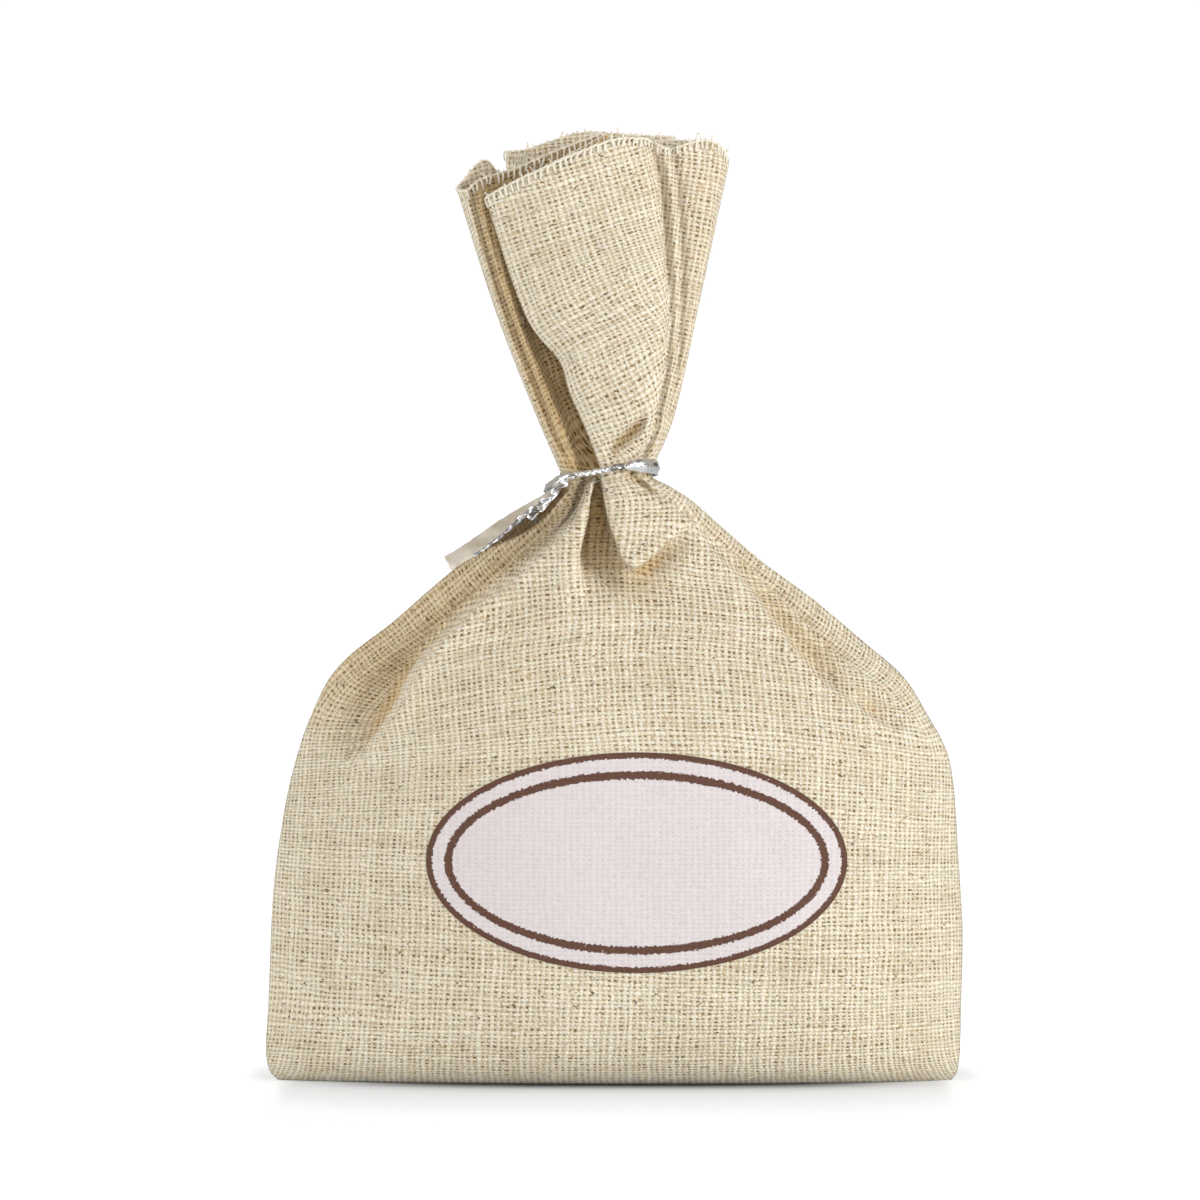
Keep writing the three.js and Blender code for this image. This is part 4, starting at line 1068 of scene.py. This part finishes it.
film_shade = Shade("film", 0.28)
film_place = film_shade.place()
film_noise = film_shade.noise(film_place, 320.0, 3.0)
film_colour = film_shade.mix(film_shade.step(film_noise, 0.3, 0.7), FILM_DARK, FILM_PALE)
# The film lies in the dark below the strand that crosses it
film_x, _, film_z = film_shade.parts(film_place)
strand_start = np.array(LONG_CORE[3])
strand_run = np.array(LONG_CORE[-1]) - strand_start
strand_up = np.array((strand_run[2], -strand_run[0])) / math.hypot(strand_run[0], strand_run[2])
strand_at = strand_up @ strand_start[[0, 2]] * MM
film_up = film_shade.scaled(film_x, strand_up[0], film_shade.scaled(film_z, strand_up[1], -strand_at))
film_colour = film_shade.mix(film_shade.step(film_up, -0.4 * MM, 0.1 * MM), FILM_SHADE, film_colour)
film_shade.set(Base_Color=film_colour, Metallic=0.2)
film_shade.bump(film_noise, 0.3, 0.15)
# Painted reflections: the wire's colour goes dark and pale in grains
wire_shade = speckled("wire", 0.32, 1500.0, 2.0, WIRE_REFLECTION_DARK, WIRE_REFLECTION_PALE, (0.3, 0.08), Metallic=1.0)

for piece, node, body, shade in (
    (band, "tie_band", "pouch", foil_shade),
    (band_wire, "tie_band_wire", "pouch", wire_shade),
    (long_tail, "long_tail", "tie_tails", film_shade),
    (long_wire, "long_tail_wire", "tie_tails", wire_shade),
    (short_tail, "short_tail", "tie_tails", foil_shade),
    (short_wire, "short_tail_wire", "tie_tails", wire_shade),
):
    piece.data.materials.append(shade.material)
    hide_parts(node)
    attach(piece, body)


# Loops and loose ends of thread along the mouth, and stray fibres of the cloth


def threads(name, paths, radius, sides):
    """One mesh of many thin threads, each tapering to its far end."""
    points, faces = [], []
    for path in paths:
        faces += tube_faces(len(path), sides, len(points))
        normal, width = across_path(path, np.tile(ASKEW, (len(path), 1)))
        for k, centre in enumerate(path):
            size = radius * (1 - 0.5 * k / (len(path) - 1))
            for s in range(sides):
                turn = 2 * math.pi * s / sides
                points.append(centre + size * (math.cos(turn) * normal[k] + math.sin(turn) * width[k]))
    return new_piece(name, points, faces)


LOOP_PITCH = 0.9
# Rise above the edge and distance in front of it, along a thread that goes over the edge
OVERCAST = [
    (-1.0, 0.04), (-0.6, 0.14), (-0.2, 0.18), (0.1, 0.1), (0.2, -0.2), (0.1, -0.5), (-0.3, -0.62),
    (-0.8, -0.5),
]
# Reach of a loop down the cloth and its lean, and share, reach and bend of loose ends
LOOP_REACH, LOOP_LEAN = (0.9, 1.5), 0.14
LOOSE_END_SHARE, END_REACH, END_BEND = 0.45, (0.4, 1.2), 0.35
# Step of the edge thread, and how far its points stray
EDGE_STEP, EDGE_STRAY = 0.4, 0.05
# Reach, height, turn and curl of stray fibres, and how close they come to the floor
FIBRE_REACH, FIBRE_HEIGHT, FIBRE_TURN, FIBRE_CURL = (0.6, 2.0), (0.15, 0.7), (1.2, 2.8), 0.35
FIBRE_FLOOR = 0.1
# Radius and sides of the edge thread, the loops and the stray fibres, and fibres on each cloth by body
EDGE_THREAD, LOOPS, FIBRES = (0.20, 6), (0.19, 6), (0.04, 3)
POUCH_FIBRES, FRILL_FIBRES = 170, 70


def mouth_threads(grid, seed):
    """Edge thread, small loops and loose ends along a cloth's mouth."""
    chance = np.random.default_rng(seed)
    edge, below = grid[:, -1].T, grid[:, -3].T
    length = run_length(edge)
    spot = lambda line, at: np.array([np.interp(at, length, axis) for axis in line.T])
    fine = np.arange(0, length[-1], EDGE_STEP)
    thread = np.array([spot(edge, at) for at in fine]) + chance.normal(0, EDGE_STRAY, (len(fine), 3))
    paths = []
    at = 0.5
    while at < length[-1] - 1:
        base = spot(edge, at)
        up = unit(base - spot(below, at))
        along = unit(spot(edge, at + EDGE_STEP) - spot(edge, at - EDGE_STEP))
        out = np.cross(along, up)
        reach, lean = chance.uniform(*LOOP_REACH), chance.normal(0, LOOP_LEAN)
        paths.append(np.array([
            base + rise * up * (reach if rise < -0.5 else 1) + off * out + lean * rise * along
            for rise, off in OVERCAST
        ]))
        if chance.random() < LOOSE_END_SHARE:
            reach, bend = chance.uniform(*END_REACH), chance.normal(0, END_BEND, 3)
            share = np.linspace(0, 1, 7)[:, None]
            paths.append(base - 0.25 * up + share * reach * up + share ** 2 * bend)
        at += LOOP_PITCH * chance.uniform(0.8, 1.25)
    return thread, paths


def stray_fibres(grid, rows, count, outward, seed):
    """Short curved fibres that stand off the cloth."""
    chance = np.random.default_rng(seed)
    paths = []
    for _ in range(count):
        row, column = chance.integers(*rows), chance.integers(2, COLUMNS - 2)
        here = grid[:, row, column]
        along, across = grid[:, row + 1, column] - here, grid[:, row, column + 1] - here
        normal = unit(np.cross(across, along) * outward)
        slant = chance.normal(0, 1, 3)
        slant = unit(slant - np.dot(slant, normal) * normal)
        share = np.linspace(0, 1, 6)[:, None]
        reach, height = chance.uniform(*FIBRE_REACH), chance.uniform(*FIBRE_HEIGHT)
        curl = chance.normal(0, FIBRE_CURL, 3)
        arc = np.sin(share * chance.uniform(*FIBRE_TURN))
        path = here + share * reach * slant + arc * height * normal
        paths.append(np.maximum(path + share ** 2 * curl, (-math.inf, -math.inf, FIBRE_FLOOR)))
    return paths


thread_shade = Shade("thread", 0.9)
thread_noise = thread_shade.noise(thread_shade.place(), 700.0, 3.0)
thread_shade.set(Base_Color=thread_shade.mix(thread_noise, THREAD_DARK, THREAD_PALE), Sheen_Weight=0.12,
                 Sheen_Roughness=0.5, Specular_IOR_Level=0.25)
thread_shade.bump(thread_noise, 0.4, 0.05)

trims = []
fibres = {"pouch": [], "frill": []}
for name, outward, seed in (("front_cloth", 1, 41), ("back_cloth", -1, 42)):
    grid = grids[name]
    edge_thread, loops = mouth_threads(grid, seed)
    trims.append((tube(f"{name}_edge_thread", edge_thread, *EDGE_THREAD), "frill"))
    trims.append((threads(f"{name}_loops", loops, *LOOPS), "frill"))
    wall_rows, frill_rows = (BASE_ROWS + 4, TIE_ROW - 8), (TIE_ROW + 16, TIE_ROW + FRILL_ROWS - 2)
    fibres["pouch"] += stray_fibres(grid, wall_rows, POUCH_FIBRES, outward, seed + 10)
    fibres["frill"] += stray_fibres(grid, frill_rows, FRILL_FIBRES, outward, seed + 20)
for body, paths in fibres.items():
    trims.append((threads(f"{body}_fibres", paths, *FIBRES), body))
for piece, body in trims:
    piece.data.materials.append(thread_shade.material)
    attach(piece, body)


# Filling of dried buds, which the two cloths rest on

# Gap inside the cloth, and what the folds add to it over the heights given
FILL_GAP, FOLD_GAP, FOLD_HEIGHTS = 1.3, 3.2, (38, 48)
FILL_BOTTOM, FILL_SHOULDER, FILL_TOP = 1.5, 46.0, 60.0
FILL_SIDES = (0.03, 0.97)
FILL_COLUMNS, FILL_ROWS = 72, 56
# Width, length and depth of a lump of buds
LUMP_WIDTH, LUMP_LENGTH, LUMP_DEPTH = 2.1, 1.9, 0.9
# Share of the width that the lowest ring has and the rows over which it opens, and share that the top keeps
FILL_FOOT, FOOT_ROWS, TOP_SHARE = 0.9, 3, 0.2
BUD_DARK, BUD_PALE = (0.10, 0.08, 0.16), (0.33, 0.28, 0.42)


def filling():
    """Lumpy heap that follows the inside of the bag and ends in a low dome."""
    rows = []
    for k, z in enumerate(np.linspace(FILL_BOTTOM, FILL_TOP, FILL_ROWS)):
        level = min(z, FILL_SHOULDER)
        closing = math.sqrt(max(1 - (max(z - FILL_SHOULDER, 0) / (FILL_TOP - FILL_SHOULDER)) ** 2, 0))
        opening = min(1.0, FILL_FOOT + (1 - FILL_FOOT) * k / FOOT_ROWS)
        ring = []
        for front, sides, seed in ((True, FILL_SIDES, 51), (False, FILL_SIDES[::-1], 52)):
            even = np.ones(FILL_COLUMNS)
            x, y, _ = pouch_points(np.linspace(*sides, FILL_COLUMNS), level * even, front)
            inner = np.maximum(np.abs(y) - FILL_GAP - FOLD_GAP * smoothstep(level, *FOLD_HEIGHTS), 0.15)
            lump = 0.5 * (1 + soft_noise(x / LUMP_WIDTH + 30, z / LUMP_LENGTH * even, seed))
            inner = np.maximum(inner - LUMP_DEPTH * lump, 0.1) * closing * opening
            width = (TOP_SHARE + (1 - TOP_SHARE) * closing) * opening
            ring.append([x * width, -inner if front else inner, z * even])
        rows.append(np.concatenate(ring, axis=1).T)
    return ringed("dried_buds", np.array(rows))


bud_shade = speckled("lavender", 0.85, 420.0, 3.0, BUD_DARK, BUD_PALE, (0.8, 0.8))
buds = filling()
buds.data.materials.append(bud_shade.material)
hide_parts("lavender_fill")
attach(buds, "pouch")


# Floor, light and camera

# Half sizes of the bag's foot on the floor, round which the floor has a painted shadow and further out glows
# white, in metres
FOOT = (0.046, 0.009)
# Reach and darkness of the painted shadow
SHADOW_REACH, SHADOW_DARK = 0.022, 0.56
# Steps of the floor's glow: where it starts, where it ends, and how much it adds
GLOW_STEPS = [(0.0, 0.008, 0.17), (0.012, 0.055, 0.20), (0.06, 0.20, 0.35)]
# How much faster that goes beside and behind the foot than in front, and the distance that its corners add
BESIDE_FADES, BEHIND_FADES, CORNER_FADE = 16.0, 6.0, 0.012
# Half the floor's side, in millimetres
FLOOR_HALF = 2000
# Strength and colour of the room as a light, and as the camera sees it
ROOM_LIGHT, ROOM_COLOUR = 0.40, (1.0, 0.93, 0.82)
BACKDROP_LIGHT, BACKDROP_COLOUR = 1.05, (1, 1, 1)
SOFTBOX_COLOUR = (1.0, 1.02, 1.06)
FLOOR_COLOUR = (0.88, 0.93, 1.0)
# Softboxes: name, degrees to the right of the camera, degrees above the floor, watts; then their side and
# distance, in metres
SOFTBOXES = [("key", 60, 5, 18.4), ("fill", -75, 5, 12.3), ("front_light", 0, 10, 5.2)]
SOFTBOX_SIZE = 0.7
LIGHT_DISTANCE = 1.4
LIT_POINT = Vector((0, 0, 0.07))
# Camera: what it looks at, degrees above the floor, distance and width of the picture in metres, and sensor
CAMERA_TARGET = Vector((-2.16, 0, 69.3)) * MM
CAMERA_HEIGHT = 2
CAMERA_DISTANCE = 1.2
PICTURE_WIDTH = 172.9 * MM
SENSOR = 36

floor_corners = [(x * FLOOR_HALF, y * FLOOR_HALF, 0) for x, y in ((-1, -1), (1, -1), (1, 1), (-1, 1))]
floor = new_piece("floor", floor_corners, [(0, 1, 2, 3)])
floor_shade = Shade("floor", 0.9)
less, times, scaled, calc = floor_shade.less, floor_shade.times, floor_shade.scaled, floor_shade.math
floor_x, floor_y, _ = floor_shade.parts(floor_shade.place())
wide = calc("ABSOLUTE", floor_x)
beside = times(calc("MAXIMUM", less(wide, FOOT[0]), 0.0), BESIDE_FADES)
before = less(times(floor_y, -1.0), FOOT[1])
behind = times(less(floor_y, FOOT[1]), BEHIND_FADES)
along = calc("MAXIMUM", calc("MAXIMUM", before, behind), 0.0)
corner_share = calc("MINIMUM", calc("POWER", calc("DIVIDE", wide, FOOT[0]), 4.0), 2.0)
along = scaled(corner_share, CORNER_FADE, along)
away = calc("SQRT", scaled(beside, beside, times(along, along)))
near = less(1.0, calc("MINIMUM", calc("DIVIDE", away, SHADOW_REACH), 1.0))
shadow = times(times(near, near), SHADOW_DARK)
floor_glow = 0.0
for start, end, amount in GLOW_STEPS:
    floor_glow = scaled(floor_shade.step(away, start, end), amount, floor_glow)
# Only the camera sees the painted shadow and the glow
floor_seen = floor_shade.camera_ray()
floor_shade.set(Base_Color=floor_shade.mix(times(shadow, floor_seen), FLOOR_COLOUR, (0, 0, 0)),
                Emission_Color=(1, 1, 1, 1), Emission_Strength=times(floor_glow, floor_seen))
floor.data.materials.append(floor_shade.material)

world = bpy.data.worlds.new("studio")
bpy.context.scene.world = world
world.use_nodes = True
room = Tree(world.node_tree)
room_seen = room.camera_ray()
backdrop = room.nodes["Background"]
room_level = room.node("Mix", {0: room_seen, 2: ROOM_LIGHT, 3: BACKDROP_LIGHT}).outputs[0]
room.put(backdrop.inputs["Strength"], room_level)
room.put(backdrop.inputs["Color"], room.mix(room_seen, ROOM_COLOUR, BACKDROP_COLOUR))


def looking(data, target, azimuth, height, distance):
    """New light or camera that looks at a target from the given angles, in degrees, and distance."""
    turn, rise = math.radians(azimuth), math.radians(height)
    away = Vector((math.cos(rise) * math.sin(turn), -math.cos(rise) * math.cos(turn), math.sin(rise)))
    looker = bpy.data.objects.new(data.name, data)
    looker.location = target + distance * away
    looker.rotation_euler = (target - looker.location).to_track_quat("-Z", "Y").to_euler()
    bpy.context.scene.collection.objects.link(looker)
    return looker


for name, azimuth, height, watts in SOFTBOXES:
    light = bpy.data.lights.new(name, "AREA")
    light.shape = "RECTANGLE"
    light.size = light.size_y = SOFTBOX_SIZE
    light.energy, light.color = watts, SOFTBOX_COLOUR
    looking(light, LIT_POINT, azimuth, height, LIGHT_DISTANCE)

camera = bpy.data.cameras.new("camera")
camera.sensor_width = SENSOR
camera.lens = SENSOR * CAMERA_DISTANCE / PICTURE_WIDTH
bpy.context.scene.camera = looking(camera, CAMERA_TARGET, 0, CAMERA_HEIGHT, CAMERA_DISTANCE)
bpy.context.scene.view_settings.view_transform = "Standard"
